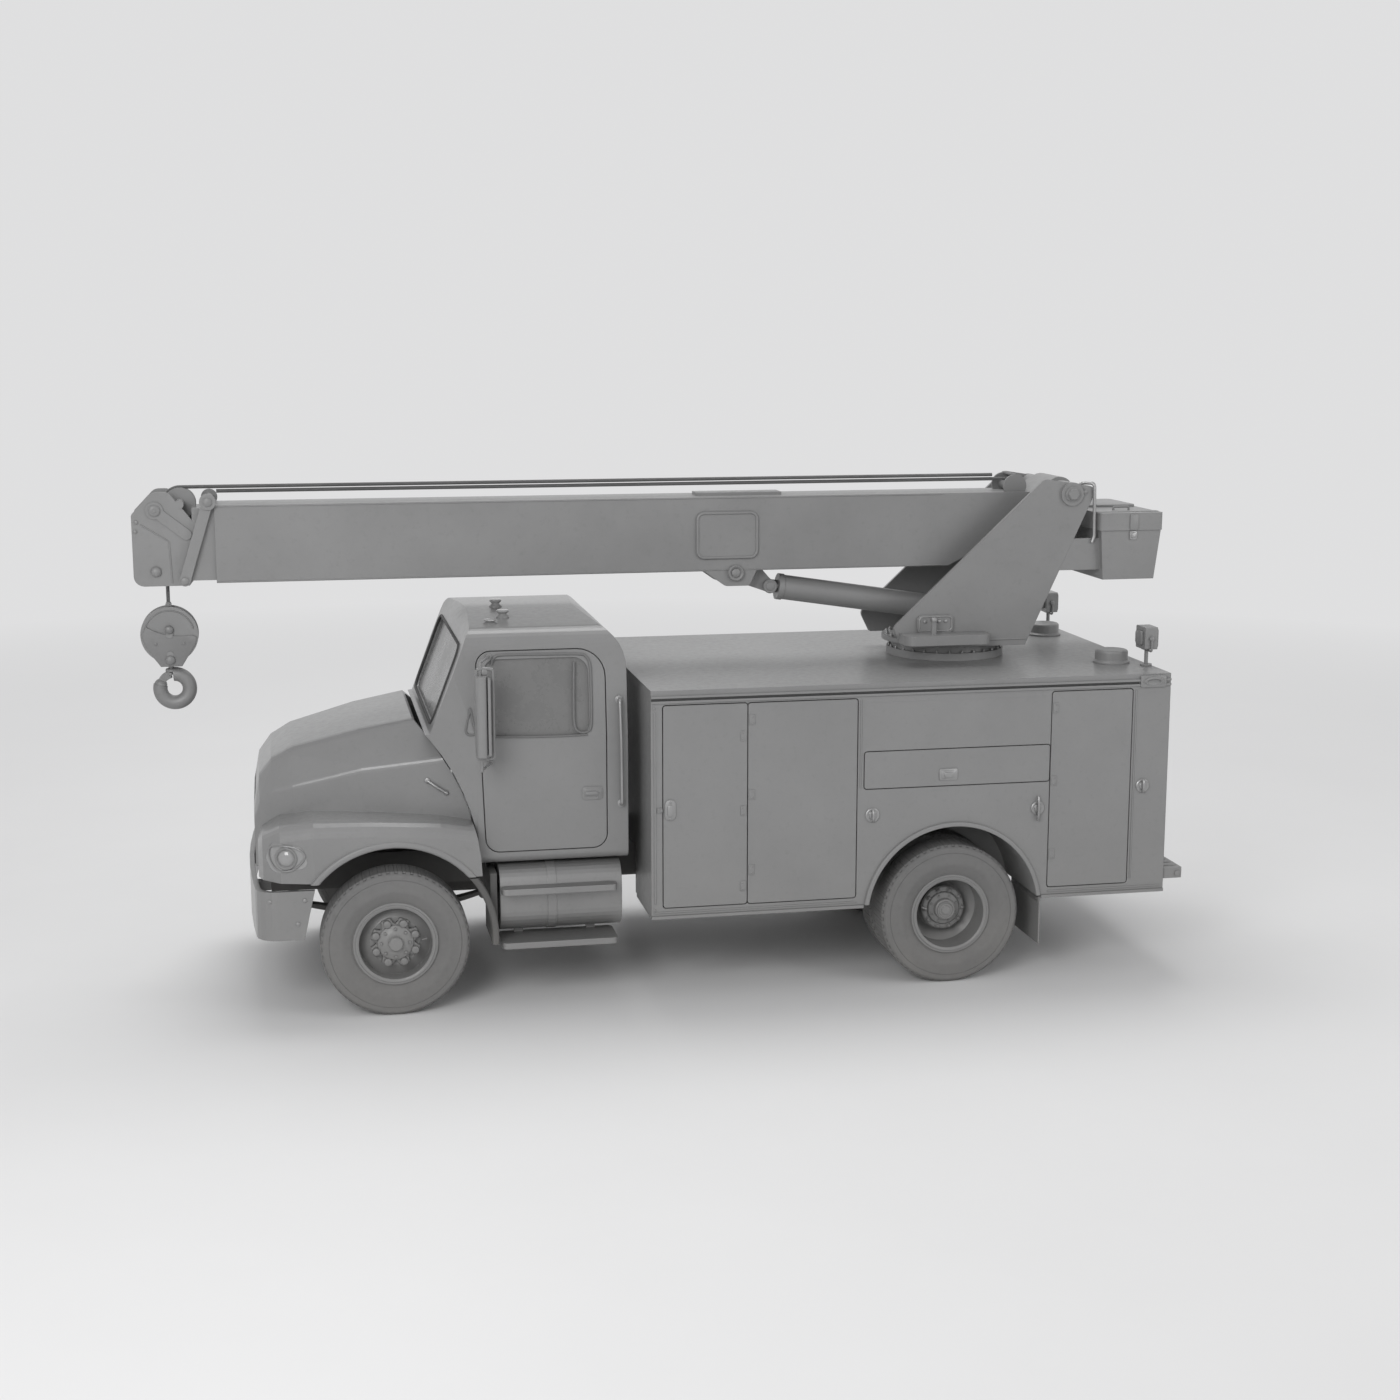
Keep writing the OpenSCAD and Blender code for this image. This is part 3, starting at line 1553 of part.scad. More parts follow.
module winch() {
  color(dark) placed() {
    rod_y(drum_x, drum_z, drum_r, -drum_y, drum_y);
    pair() intersection() {
      rod_y(drum_x, drum_z, cheek_r, drum_y, drum_y + cheek_t);
      block([drum_x - cheek_r, 0, boom_top_z + seat], [drum_x + cheek_r, boom_y, drum_z + cheek_r]);
    }
    difference() {
      rod_y(drum_x, drum_z, cheek_r + guard_t, -drum_y - cheek_t, drum_y + cheek_t);
      rod_y(drum_x, drum_z, cheek_r - guard_t, -boom_y, boom_y);
      block([drum_x, -boom_y, drum_z - boom_y], [drum_x + boom_y, boom_y, drum_z + boom_y]);
      block([drum_x - boom_y, -boom_y, drum_z - boom_y], [drum_x + boom_y, boom_y, boom_top_z + seat]);
    }
  }
}

// Two stretches of rope over the boom: one stays with the outer section, one goes out with the head
module boom_rope() {
  color(rope_grey) placed()
    rod_x(0, rope_low_z, rope_d / 2, drum_x, mouth_x - rope_end_gap);
}

// Inner section and head: sheave, rope roller, struts with the guide roller over the outer section
tip_back_x = 1100;
tip_y = boom_y - boom_wall - tip_gap;
tip_low_z = boom_low_z + boom_wall + tip_gap;
tip_high_z = boom_top_z - boom_wall - tip_gap;
head_len = 400;
head_drop = 15;
head_low_z = boom_low_z - head_drop;
head_h = 640;
head_t = 24;
head_r = 70;
head_shares = [[0.08, 0], [1, 0], [1, 0.765], [0.64, 1], [0.38, 1], [0, 0.7], [0, 0.06]];
sheave_r = 95;
sheave_x = rope_x - sheave_r - rope_d / 2 - seat;
sheave_w = 60;
sheave_z = rope_high_z - rope_d / 2 - seat - sheave_r;
sheave_pin_r = 30;
roller_ahead = 62;
roller_up = 100;
roller_x = rope_x + roller_ahead;
roller_z = head_low_z + roller_up;
roller_r = roller_x - rope_x - rope_d / 2 - seat;
keyhole_in = 155;
keyhole_drop = 30;
keyhole_x = front_reach - keyhole_in;
keyhole_z = boom_top_z - keyhole_drop;
keyhole_r = 60;
keyhole_t = 10;
keyhole_back = 205;
keyhole_fall = 165;
keyhole_arm = [keyhole_x - keyhole_back, keyhole_z - keyhole_fall];
keyhole_w = 74;
strut_t = 20;
strut_w = 74;
strut_in = 340;
guide_ahead = 40;
guide_up = 27;
strut_low_x = front_reach - strut_in;
guide_x = mouth_x + guide_ahead;
guide_z = boom_top_z + guide_up;
guide_r = 28;
guide_boss_r = 56;
strut_gap = 6;

module inner_section() {
  difference() {
    block([tip_back_x, -tip_y, tip_low_z], [front_reach - head_len, tip_y, tip_high_z]);
    block([tip_back_x - cut, -tip_y + boom_wall, tip_low_z + boom_wall],
          [front_reach - head_len - boom_wall, tip_y - boom_wall, tip_high_z - boom_wall]);
  }
  pw = boom_w * pad_w_share;
  ph = (boom_top_z - boom_low_z) * pad_w_share;
  mid = (boom_top_z + boom_low_z) / 2;
  for (z = [tip_low_z - pad_t, tip_high_z])
    block([tip_back_x, -pw / 2, z], [tip_back_x + pad_len, pw / 2, z + pad_t]);
  pair() block([tip_back_x, tip_y, mid - ph / 2], [tip_back_x + pad_len, tip_y + pad_t, mid + ph / 2]);
}

module head_plate() {
  y_slab(rounded([for (s = head_shares) [front_reach - head_len + s[0] * head_len, head_low_z + s[1] * head_h]],
                    [0, head_r, head_r / 2, head_r, head_r, head_r / 4, 0]), tip_y - head_t, tip_y);
}

// Raised plate on each side of the head, a disc with an arm
module keyhole_plate() {
  pair() {
    rod_y(keyhole_x, keyhole_z, keyhole_r, tip_y, tip_y + keyhole_t);
    y_slab(bar(keyhole_arm, [keyhole_x, keyhole_z], keyhole_w), tip_y, tip_y + keyhole_t);
  }
}

module struts() {
  y0 = boom_y + strut_gap;
  foot = [strut_low_x, head_low_z + strut_w / 2];
  pair() {
    y_slab(bar([guide_x, guide_z], foot, strut_w), y0, y0 + strut_t);
    rod_y(guide_x, guide_z, guide_boss_r, y0, y0 + strut_t * 1.6);
    rod_y(foot[0], foot[1], strut_w / 3, tip_y - head_t, y0 + strut_t);
  }
  rod_y(guide_x, guide_z, guide_r, -y0, y0);
}

module boom_tip() {
  color(paint) placed() {
    inner_section();
    pair() head_plate();
    keyhole_plate();
    struts();
    rod_y(sheave_x, sheave_z, sheave_pin_r, -tip_y, tip_y);
    translate([sheave_x, 0, sheave_z]) rotate([90, 0, 0]) rotate_extrude() polygon([
      [sheave_pin_r / 2, -sheave_w / 2], [sheave_r + rope_d / 2, -sheave_w / 2], [sheave_r, -rope_d / 2],
      [sheave_r, rope_d / 2], [sheave_r + rope_d / 2, sheave_w / 2], [sheave_pin_r / 2, sheave_w / 2]
    ]);
    rod_y(roller_x, roller_z, roller_r, -tip_y + head_t, tip_y - head_t);
    pair() rod_y(roller_x, roller_z, sheave_pin_r, tip_y - head_t, tip_y + keyhole_t);
    block([front_reach - head_r, -tip_y + head_t / 2, tip_low_z + head_r],
          [front_reach - head_r + head_t, tip_y - head_t / 2, keyhole_z - head_r]);
    pair() block([front_reach - head_len - boom_wall, tip_y - head_t, tip_low_z],
                       [front_reach - head_len * 0.8, tip_y, tip_high_z - head_r * 2]);
  }
}

// Rope of the head: along the top to the sheave, and the drop with its eye for the block
socket_r = 20;
socket_w = 30;
block_bolt_r = 10;
tip_rope_x = -640;

module tip_rope() {
  color(rope_grey) placed() {
    rod_x(0, rope_high_z, rope_d / 2, tip_rope_x, sheave_x);
    translate([sheave_x, 0, sheave_z]) rotate([90, 0, 0])
      rotate_extrude(angle = 90) translate([rope_x - sheave_x, 0]) circle(rope_d / 2);
    difference() {
      union() {
        rod_z(rope_x, 0, rope_d / 2, hang_z, sheave_z);
        rod_y(rope_x, hang_z, socket_r, -socket_w / 2, socket_w / 2);
      }
      rod_y(rope_x, hang_z, block_bolt_r + run, -socket_w, socket_w);
    }
  }
}

// Lift cylinder, drawn along X from its foot pin and tipped to the stowed angle
barrel_in_r = 62;
rod_r = 46;
piston_w = 70;
barrel_start = 110;
barrel_end_gap = 68;
lift_len = norm([eye_x - foot_x, eye_z - foot_z]);
lift_tilt = atan2(eye_z - foot_z, eye_x - foot_x);
rod_back = 190;
gland_t = 40;
rod_eye_r = 45;

module along_cylinder() {
  placed() translate([foot_x, 0, foot_z]) rotate([0, -lift_tilt, 0]) children();
}

module lift_barrel() {
  front = lift_len - barrel_end_gap;
  color(steel) along_cylinder() difference() {
    union() {
      rod_x(0, 0, barrel_r, barrel_start, front);
      rod_x(0, 0, barrel_r + trim_t / 2, front - gland_t, front);
      block([0, -foot_w / 2, -foot_r], [barrel_start + cut, foot_w / 2, foot_r]);
      rod_y(0, 0, foot_r, -foot_w / 2, foot_w / 2);
    }
    rod_x(0, 0, barrel_in_r, barrel_start + gland_t, front - gland_t);
    rod_x(0, 0, rod_r + run, front - gland_t - cut, front + cut);
    rod_y(0, 0, foot_pin_r + run, -foot_w, foot_w);
  }
}

module lift_rod() {
  color(steel) along_cylinder() difference() {
    union() {
      rod_x(0, 0, rod_r, rod_back, lift_len - rod_eye_r / 2);
      rod_x(0, 0, barrel_in_r - seat, rod_back, rod_back + piston_w);
      rod_y(lift_len, 0, rod_eye_r, -eye_w / 2, eye_w / 2);
    }
    for (s = [-1, 1])
      block([lift_len - barrel_end_gap + trim_t, s * (eye_w / 2 + rod_r) - rod_r, -barrel_r],
            [lift_len + barrel_r, s * (eye_w / 2 + rod_r) + rod_r, barrel_r]);
    rod_y(lift_len, 0, link_r / 2, -eye_w, eye_w);
  }
}

// Hook block: cheek plates round a sheave, a head for the rope's eye, and the swivel
block_h = 426;
block_z = hang_z - block_h;
block_drop = 205;
block_gap_w = 84;
block_t = 14;
block_foot_w = 130;
block_disc_r = 112;
ear_t = 12;
swivel_r = 20;
swivel_h = 60;

module hook_block() {
  z = hang_z - block_drop;
  y0 = block_gap_w / 2;
  color(paint) placed() {
    pair() {
      rod_y(rope_x, z, block_r, y0, y0 + block_t);
      y_slab([
        [rope_x - block_foot_w / 2, block_z], [rope_x + block_foot_w / 2, block_z],
        [rope_x + block_r * 0.94, z - block_r * 0.34], [rope_x - block_r * 0.94, z - block_r * 0.34]
      ], y0, y0 + block_t);
      y_slab(rounded([
        [rope_x - socket_r, z + block_disc_r + seat * 4], [rope_x + socket_r, z + block_disc_r + seat * 4],
        [rope_x + socket_r, hang_z + socket_r], [rope_x - socket_r, hang_z + socket_r]
      ], [0, 0, socket_r * 0.9, socket_r * 0.9]), socket_w / 2 + seat, socket_w / 2 + seat + ear_t);
    }
    rod_y(rope_x, hang_z, block_bolt_r, -socket_w / 2 - ear_t * 1.6, socket_w / 2 + ear_t * 1.6);
    block([rope_x - socket_r * 2, -y0, z + block_disc_r + seat * 4],
          [rope_x + socket_r * 2, y0, z + block_disc_r + socket_r * 1.2]);
    rod_y(rope_x, z, block_disc_r, -y0 * 0.7, y0 * 0.7);
    for (zp = [z, block_z + swivel_h * 1.4])
      rod_y(rope_x, zp, swivel_r * 1.2, -y0 - block_t * 2, y0 + block_t * 2);
    difference() {
      block([rope_x - block_foot_w / 2, -y0, block_z], [rope_x + block_foot_w / 2, y0, block_z + swivel_h]);
      rod_z(rope_x, 0, swivel_r + run, block_z - cut, block_z + swivel_h + cut);
    }
  }
}

// Hook: forged ring open at the front, hung from its swivel shank
hook_h = 311;
hook_low_z = block_z - hook_h;
hook_ring_r = 100;
hook_tube_r = 49;
hook_back = 20;
hook_from = 85;
hook_sweep = 290;
hook_nose_share = 0.9;

module hook() {
  z = hook_low_z + hook_ring_r + hook_tube_r;
  color(steel) placed() {
    translate([rope_x - hook_back, 0, z]) rotate([90, 0, 0]) rotate([0, 0, hook_from])
      rotate_extrude(angle = hook_sweep) translate([hook_ring_r, 0]) circle(hook_tube_r, $fn = 32);
    rod_z(rope_x, 0, swivel_r, z + hook_ring_r, block_z + swivel_h - cut);
    translate([rope_x - hook_back, 0, z] + hook_ring_r * [cos(hook_from + hook_sweep), 0, sin(hook_from + hook_sweep)])
      sphere(hook_tube_r * hook_nose_share, $fn = 32);
  }
}

// Tyres: round shoulders, bead seats clear of the rim's lips
bead_y = 105;
bead_h = 30;
shoulder_drop = 24;
tread_in = 16;
side_r = 70;
tyre_steps = 3;

// Section of a tyre about its own middle
function tyre_section() =
  let (w = tyre_w / 2, low = rim_r + seat)
  rounded([
    [low, -bead_y], [low + bead_h, -bead_y], [low + bead_h + side_r, -w],
      [tyre_r - shoulder_drop, -w + tread_in / 2],
    [tyre_r, -w + tread_in * 2], [tyre_r, w - tread_in * 2], [tyre_r - shoulder_drop, w - tread_in / 2],
    [low + bead_h + side_r, w], [low + bead_h, bead_y], [low, bead_y]
  ], [0, 0, side_r, tread_in, tread_in, tread_in, tread_in, side_r, 0, 0], tyre_steps);

module about_wheel(x) {
  translate([x, 0, tyre_r]) rotate([-90, 0, 0]) children();
}

module tyre(x, y) {
  about_wheel(x) translate([0, 0, y]) rotate_extrude() polygon(tyre_section());
}

front_tyre_y = front_track / 2;
rear_outer_y = rear_over_w / 2 - tyre_w / 2;
twin_gap = 40;
rear_inner_y = rear_outer_y - tyre_w - twin_gap;

module front_tyre(side) {
  color(rubber) placed() on_side(side) tyre(front_x, front_tyre_y);
}

module front_tyre_left() {
  front_tyre(1);
}

module front_tyre_right() {
  front_tyre(-1);
}

module rear_tyres(side) {
  color(rubber) placed() on_side(side) {
    tyre(0, rear_outer_y);
    tyre(0, rear_inner_y);
  }
}

module rear_tyres_left() {
  rear_tyres(1);
}

module rear_tyres_right() {
  rear_tyres(-1);
}

// Wheels: rim barrel with lips, dished disc with hand holes, hub with its bore
rim_t = 16;
rim_lip_h = 22;
rim_lip_t = 12;
disc_t = 16;
hub_r = 112;
hub_rise = 34;
twin_hub_r = 120;
front_disc_y = 1036;
front_disc_drop = 46;
rear_disc_drop = 26;
rear_disc_gap = 10;
disc_foot_share = 0.72;

module rim(y) {
  lip_y = bead_y + seat;
  translate([0, 0, y]) rotate_extrude() polygon([
    [rim_r - rim_t, -lip_y - rim_lip_t], [rim_r + rim_lip_h, -lip_y - rim_lip_t],
    [rim_r + rim_lip_h, -lip_y], [rim_r, -lip_y], [rim_r, lip_y],
    [rim_r + rim_lip_h, lip_y], [rim_r + rim_lip_h, lip_y + rim_lip_t],
    [rim_r - rim_t, lip_y + rim_lip_t]
  ]);
}

// Disc from the hub out to the rim, drop towards the inside when positive
module disc(y, inner_r, drop) {
  knee = inner_r + (rim_r - inner_r) * disc_foot_share / 2;
  rotate_extrude() polygon([
    [inner_r - disc_t, y], [knee, y], [rim_r - rim_t / 2, y - drop], [rim_r - rim_t / 2, y - drop + disc_t],
    [knee, y + disc_t], [inner_r - disc_t, y + disc_t]
  ]);
}

module front_wheel(side) {
  color(steel) placed() on_side(side) about_wheel(front_x) {
    rim(front_tyre_y);
    disc(front_disc_y, hub_r, front_disc_drop);
    difference() {
      translate([0, 0, hub_in_y]) cylinder(r = hub_r, h = hub_out_y - hub_in_y);
      translate([0, 0, hub_in_y - cut]) cylinder(r = stub_r + run, h = hub_out_y);
    }
  }
}

module front_wheel_left() {
  front_wheel(1);
}

module front_wheel_right() {
  front_wheel(-1);
}

module rear_wheel(side) {
  mid = (rear_outer_y + rear_inner_y) / 2;
  color(steel) placed() on_side(side) about_wheel(0) {
    rim(rear_outer_y);
    rim(rear_inner_y);
    disc(mid + rear_disc_gap / 2, twin_hub_r, -twin_gap - rear_disc_drop);
    disc(mid - rear_disc_gap / 2 - disc_t, twin_hub_r, twin_gap + rear_disc_drop);
    difference() {
      translate([0, 0, rear_hub_in_y]) cylinder(r = twin_hub_r, h = rear_hub_out_y - rear_hub_in_y);
      translate([0, 0, rear_hub_in_y - cut]) cylinder(r = rear_hub_r + run, h = rear_hub_out_y);
    }
  }
}

module rear_wheel_left() {
  rear_wheel(1);
}

module rear_wheel_right() {
  rear_wheel(-1);
}

frame_rails();
front_axle();
rear_axle();
engine();
front_bumper();
splash_guards();
cab_shell();
cab_glass();
cab_interior();
fuel_tanks();
cab_steps();
service_body();
body_trim();
rear_bumper();
roof_fittings();
pedestal();
hood();
grille();
headlamps();
cab_door_left();
cab_door_right();
door_glass_left();
door_glass_right();
mirror_left();
mirror_right();
locker_door_left_front();
locker_door_left_mid();
locker_door_left_upper();
locker_door_left_rear();
locker_door_right_front();
locker_door_right_mid();
locker_door_right_upper();
locker_door_right_rear();
rear_door();
knuckle_left();
knuckle_right();
front_tyre_left();
front_tyre_right();
rear_tyres_left();
rear_tyres_right();
front_wheel_left();
front_wheel_right();
rear_wheel_left();
rear_wheel_right();
turret();
console();
toolbox();
toolbox_lid();
boom_base();
winch();
boom_rope();
boom_tip();
tip_rope();
lift_barrel();
lift_rod();
hook_block();
hook();
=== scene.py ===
"""Looks of the derrick truck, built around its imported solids.

Lengths are in metres; X counts from the rear axle until a piece is done.
"""
import math

import bmesh
import bpy
from mathutils import Matrix, Vector
from mathutils.bvhtree import BVHTree


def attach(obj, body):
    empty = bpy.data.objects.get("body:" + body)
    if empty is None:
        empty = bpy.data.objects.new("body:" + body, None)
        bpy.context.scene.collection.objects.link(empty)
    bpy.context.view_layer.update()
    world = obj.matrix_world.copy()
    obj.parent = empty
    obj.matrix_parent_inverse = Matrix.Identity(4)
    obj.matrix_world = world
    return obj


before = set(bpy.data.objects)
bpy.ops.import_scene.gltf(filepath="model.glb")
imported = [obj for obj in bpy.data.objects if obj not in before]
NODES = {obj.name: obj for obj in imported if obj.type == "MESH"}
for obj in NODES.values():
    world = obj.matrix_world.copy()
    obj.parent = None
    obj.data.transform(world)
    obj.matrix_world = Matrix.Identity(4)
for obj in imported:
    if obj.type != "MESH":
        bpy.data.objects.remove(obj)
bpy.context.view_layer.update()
AXLE = Vector((-1.8725, 0, 0))
SIDES = ((1, "left"), (-1, "right"))
AXES = {"x": Vector((1, 0, 0)), "y": Vector((0, 1, 0)), "z": Vector((0, 0, 1))}
FRONT_AXLE_X = 3.88
WHEEL_Z = 0.5
BODY_Y = 1.22
BACK_X = -1.575
LAMP_POST_X = -1.535
SLEW_X = -0.300
PIVOT_X, PIVOT_Z = -1.096, 3.384
BLOCK_X, BLOCK_Z = 5.318, 2.485


# Materials
def node(tree, kind, **values):
    made = tree.nodes.new("ShaderNode" + kind)
    for key, value in values.items():
        if hasattr(made, key):
            setattr(made, key, value)
        else:
            made.inputs[key.replace("_", " ")].default_value = value
    return made


def chain(tree, kind, source, **values):
    made = node(tree, kind, **values)
    tree.links.new(source, made.inputs[0])
    return made


def noise(tree, at, scale, detail=4.0, rough=0.55):
    made = node(tree, "TexNoise", Scale=scale, Detail=detail, Roughness=rough)
    tree.links.new(at, made.inputs["Vector"])
    return made.outputs["Fac"]


def spread(tree, source, low, high, to_low=0.0, to_high=1.0):
    made = node(tree, "MapRange")
    tree.links.new(source, made.inputs["Value"])
    for key, value in (("From Min", low), ("From Max", high), ("To Min", to_low), ("To Max", to_high)):
        made.inputs[key].default_value = value
    return made.outputs["Result"]


def maths(tree, operation, a, b=0.0):
    made = node(tree, "Math", operation=operation)
    for i, value in enumerate((a, b)):
        if isinstance(value, (int, float)):
            made.inputs[i].default_value = value
        else:
            tree.links.new(value, made.inputs[i])
    return made.outputs[0]


def mixed(tree, factor, a, b):
    made = node(tree, "Mix", data_type="RGBA")
    tree.links.new(factor, made.inputs["Factor"])
    for socket, value in ((made.inputs[6], a), (made.inputs[7], b)):
        if isinstance(value, tuple):
            socket.default_value = (*value, 1.0)
        else:
            tree.links.new(value, socket)
    return made.outputs[2]


def grey(v, warm=0.0):
    return (v * (1 + warm), v, v * (1 - warm))


def bumped(tree, height, strength, distance, normal=None):
    made = node(tree, "Bump", Strength=strength, Distance=distance)
    tree.links.new(height, made.inputs["Height"])
    if normal is not None:
        tree.links.new(normal, made.inputs["Normal"])
    return made.outputs["Normal"]


def surface(name, value, rough, metal=0.0, coat=0.0, grain=260.0, grain_strength=0.08, mottle=0.08,
            wear=0.4, dust=0.3, warm=0.0, edge=0.006, extra=None):
    """Worn finish: mottled colour, rubbed edges, dust towards the ground, fine grain."""
    made = bpy.data.materials.new(name)
    made.use_nodes = True
    tree = made.node_tree
    shader = tree.nodes["Principled BSDF"]
    shader.inputs["Metallic"].default_value = metal
    shader.inputs["Coat Weight"].default_value = coat
    shader.inputs["Coat Roughness"].default_value = 0.16
    at = node(tree, "TexCoord").outputs["Object"]
    broad = noise(tree, at, 1.7, 5.0, 0.6)
    fine = noise(tree, at, 23.0, 5.0, 0.65)
    colour = mixed(tree, spread(tree, broad, 0.3, 0.7), grey(value * (1 - mottle), warm),
        grey(value * (1 + mottle), warm))
    colour = mixed(tree, spread(tree, fine, 0.56, 0.74, 0.0, 0.35), colour, grey(value * 0.8, warm))
    round_off = node(tree, "Bevel", samples=4, Radius=edge)
    facing = node(tree, "VectorMath", operation="DOT_PRODUCT")
    tree.links.new(round_off.outputs["Normal"], facing.inputs[0])
    tree.links.new(node(tree, "NewGeometry").outputs["Normal"], facing.inputs[1])
    edges = maths(tree, "MULTIPLY", spread(tree, facing.outputs["Value"], 0.985, 0.86),
        spread(tree, fine, 0.38, 0.66, 0.15, 1.0))
    colour = mixed(tree, maths(tree, "MULTIPLY", edges, wear), colour, grey(min(value * 1.75, 0.62)))
    height = chain(tree, "SeparateXYZ", at).outputs["Z"]
    low = maths(tree, "MULTIPLY", spread(tree, height, 1.35, 0.15, 0.0, dust),
        spread(tree, broad, 0.25, 0.7, 0.35, 1.0))
    colour = mixed(tree, low, colour, (0.235, 0.225, 0.21))
    tree.links.new(colour, shader.inputs["Base Color"])
    tree.links.new(maths(tree, "ADD", spread(tree, fine, 0.3, 0.75, rough * 0.85, rough * 1.2),
        maths(tree, "MULTIPLY", low, 0.3)),
                   shader.inputs["Roughness"])
    normal = bumped(tree, noise(tree, at, grain, 3.0), grain_strength, 0.002, round_off.outputs["Normal"])
    if extra:
        normal = extra(tree, at, normal)
    tree.links.new(normal, shader.inputs["Normal"])
    return made


def strands(axis):
    """Lay of a wire rope that runs along an axis."""
    def extra(tree, at, normal):
        turned = node(tree, "Mapping")
        tree.links.new(at, turned.inputs["Vector"])
        turned.inputs["Rotation"].default_value = (0, math.radians(28), 0) if axis == "x" else (0,
            math.radians(62), 0)
        wave = node(tree, "TexWave", bands_direction="X", Scale=38.0, Distortion=0.0)
        tree.links.new(turned.outputs[0], wave.inputs["Vector"])
        return bumped(tree, wave.outputs["Fac"], 0.9, 0.006, normal)
    return extra


def tread(centre_x):
    """Sidewall rings, shoulder lugs and tread grooves about one axle."""
    def extra(tree, at, normal):
        xyz = chain(tree, "SeparateXYZ", at)
        x = maths(tree, "SUBTRACT", xyz.outputs["X"], centre_x)
        z = maths(tree, "SUBTRACT", xyz.outputs["Z"], 0.5)
        radius = maths(tree, "SQRT", maths(tree, "ADD", maths(tree, "MULTIPLY", x, x),
            maths(tree, "MULTIPLY", z, z)))
        angle = maths(tree, "ARCTAN2", z, x)
        lugs = spread(tree, maths(tree, "SINE", maths(tree, "MULTIPLY", angle, 58.0)), -0.35, -0.1)
        lugs = maths(tree, "MAXIMUM", lugs, spread(tree, radius, 0.491, 0.487))
        rings = spread(tree, maths(tree, "SINE", maths(tree, "MULTIPLY", radius, 330.0)), 0.78, 0.98)
        rings = maths(tree, "MULTIPLY", rings, spread(tree, maths(tree, "ABSOLUTE", maths(tree, "SUBTRACT",
            radius, 0.447)), 0.014, 0.010))
        return bumped(tree, maths(tree, "ADD", lugs, maths(tree, "MULTIPLY", rings, -0.35)), 0.9, 0.012,
            normal)
    return extra


def window_glass():
    made = bpy.data.materials.new("window_glass")
    made.use_nodes = True
    tree = made.node_tree
    shader = tree.nodes["Principled BSDF"]
    shader.inputs["IOR"].default_value = 1.5
    shader.inputs["Alpha"].default_value = 0.93
    shader.inputs["Coat Weight"].default_value = 0.2
    at = node(tree, "TexCoord").outputs["Object"]
    smear = noise(tree, at, 3.1, 6.0, 0.65)
    film = maths(tree, "MULTIPLY", spread(tree, smear, 0.4, 0.75),
        spread(tree, noise(tree, at, 41.0), 0.3, 0.7, 0.4, 1.0))
    tree.links.new(mixed(tree, film, (0.172, 0.172, 0.171), (0.210, 0.209, 0.207)),
        shader.inputs["Base Color"])
    tree.links.new(spread(tree, film, 0.0, 1.0, 0.24, 0.44), shader.inputs["Roughness"])
    tree.links.new(bumped(tree, noise(tree, at, 2.2, 1.0), 0.05, 0.01), shader.inputs["Normal"])
    return made


MATERIALS = {
    "cab_paint": surface("cab_paint", 0.225, 0.36, coat=0.35, mottle=0.05, wear=0.3),
    "body_paint": surface("body_paint", 0.235, 0.44, coat=0.15, mottle=0.05, wear=0.4),
    "boom_paint": surface("boom_paint", 0.235, 0.46, coat=0.1, mottle=0.07, wear=0.5),
    "frame_black": surface("frame_black", 0.07, 0.6, grain=120.0, grain_strength=0.2, dust=0.6),
    "tread_alloy": surface("tread_alloy", 0.27, 0.42, metal=0.55, grain=320.0, wear=0.6),
    "wheel_steel": surface("wheel_steel", 0.215, 0.42, coat=0.15, wear=0.4, dust=0.35),
    "tyre_front": surface("tyre_front", 0.16, 0.78, grain=420.0, grain_strength=0.25, wear=0.15, dust=0.45,
    extra=tread(2.0075)),
    "tyre_rear": surface("tyre_rear", 0.16, 0.78, grain=420.0, grain_strength=0.25, wear=0.15, dust=0.45,
    extra=tread(-1.8725)),
    # Dark rubber for the screen trim; also the painted shadow strip under the roof lip.
    "rubber": surface("rubber", 0.045, 0.7, grain=420.0, grain_strength=0.2, wear=0.1),
    "window_glass": window_glass(),
    "window_trim": surface("window_trim", 0.16, 0.5, grain=380.0, grain_strength=0.15, wear=0.2, dust=0.15),
    "lamp_lens": surface("lamp_lens", 0.30, 0.16, coat=0.8, grain=90.0, wear=0.1, dust=0.1),
    "lamp_red": surface("lamp_red", 0.18, 0.2, coat=0.7, grain=140.0, warm=0.25, wear=0.1, dust=0.1),
    "grille_grey": surface("grille_grey", 0.15, 0.5, grain=200.0, wear=0.25),
    "cab_trim": surface("cab_trim", 0.06, 0.62, grain=340.0, grain_strength=0.3, wear=0.15, dust=0.1),
    "rope_along": surface("rope_along", 0.2, 0.42, metal=0.6, wear=0.3, dust=0.0, edge=0.002,
    extra=strands("x")),
    "cylinder_paint": surface("cylinder_paint", 0.25, 0.44, coat=0.2, wear=0.35),
    "rod_chrome": surface("rod_chrome", 0.36, 0.22, metal=0.9, grain=500.0, grain_strength=0.02,
    mottle=0.03, wear=0.0, dust=0.0),
    "forged_steel": surface("forged_steel", 0.21, 0.5, metal=0.25, grain=70.0, grain_strength=0.35,
    wear=0.5),
    "zinc": surface("zinc", 0.33, 0.4, metal=0.7, grain=150.0, mottle=0.15, wear=0.3),
}
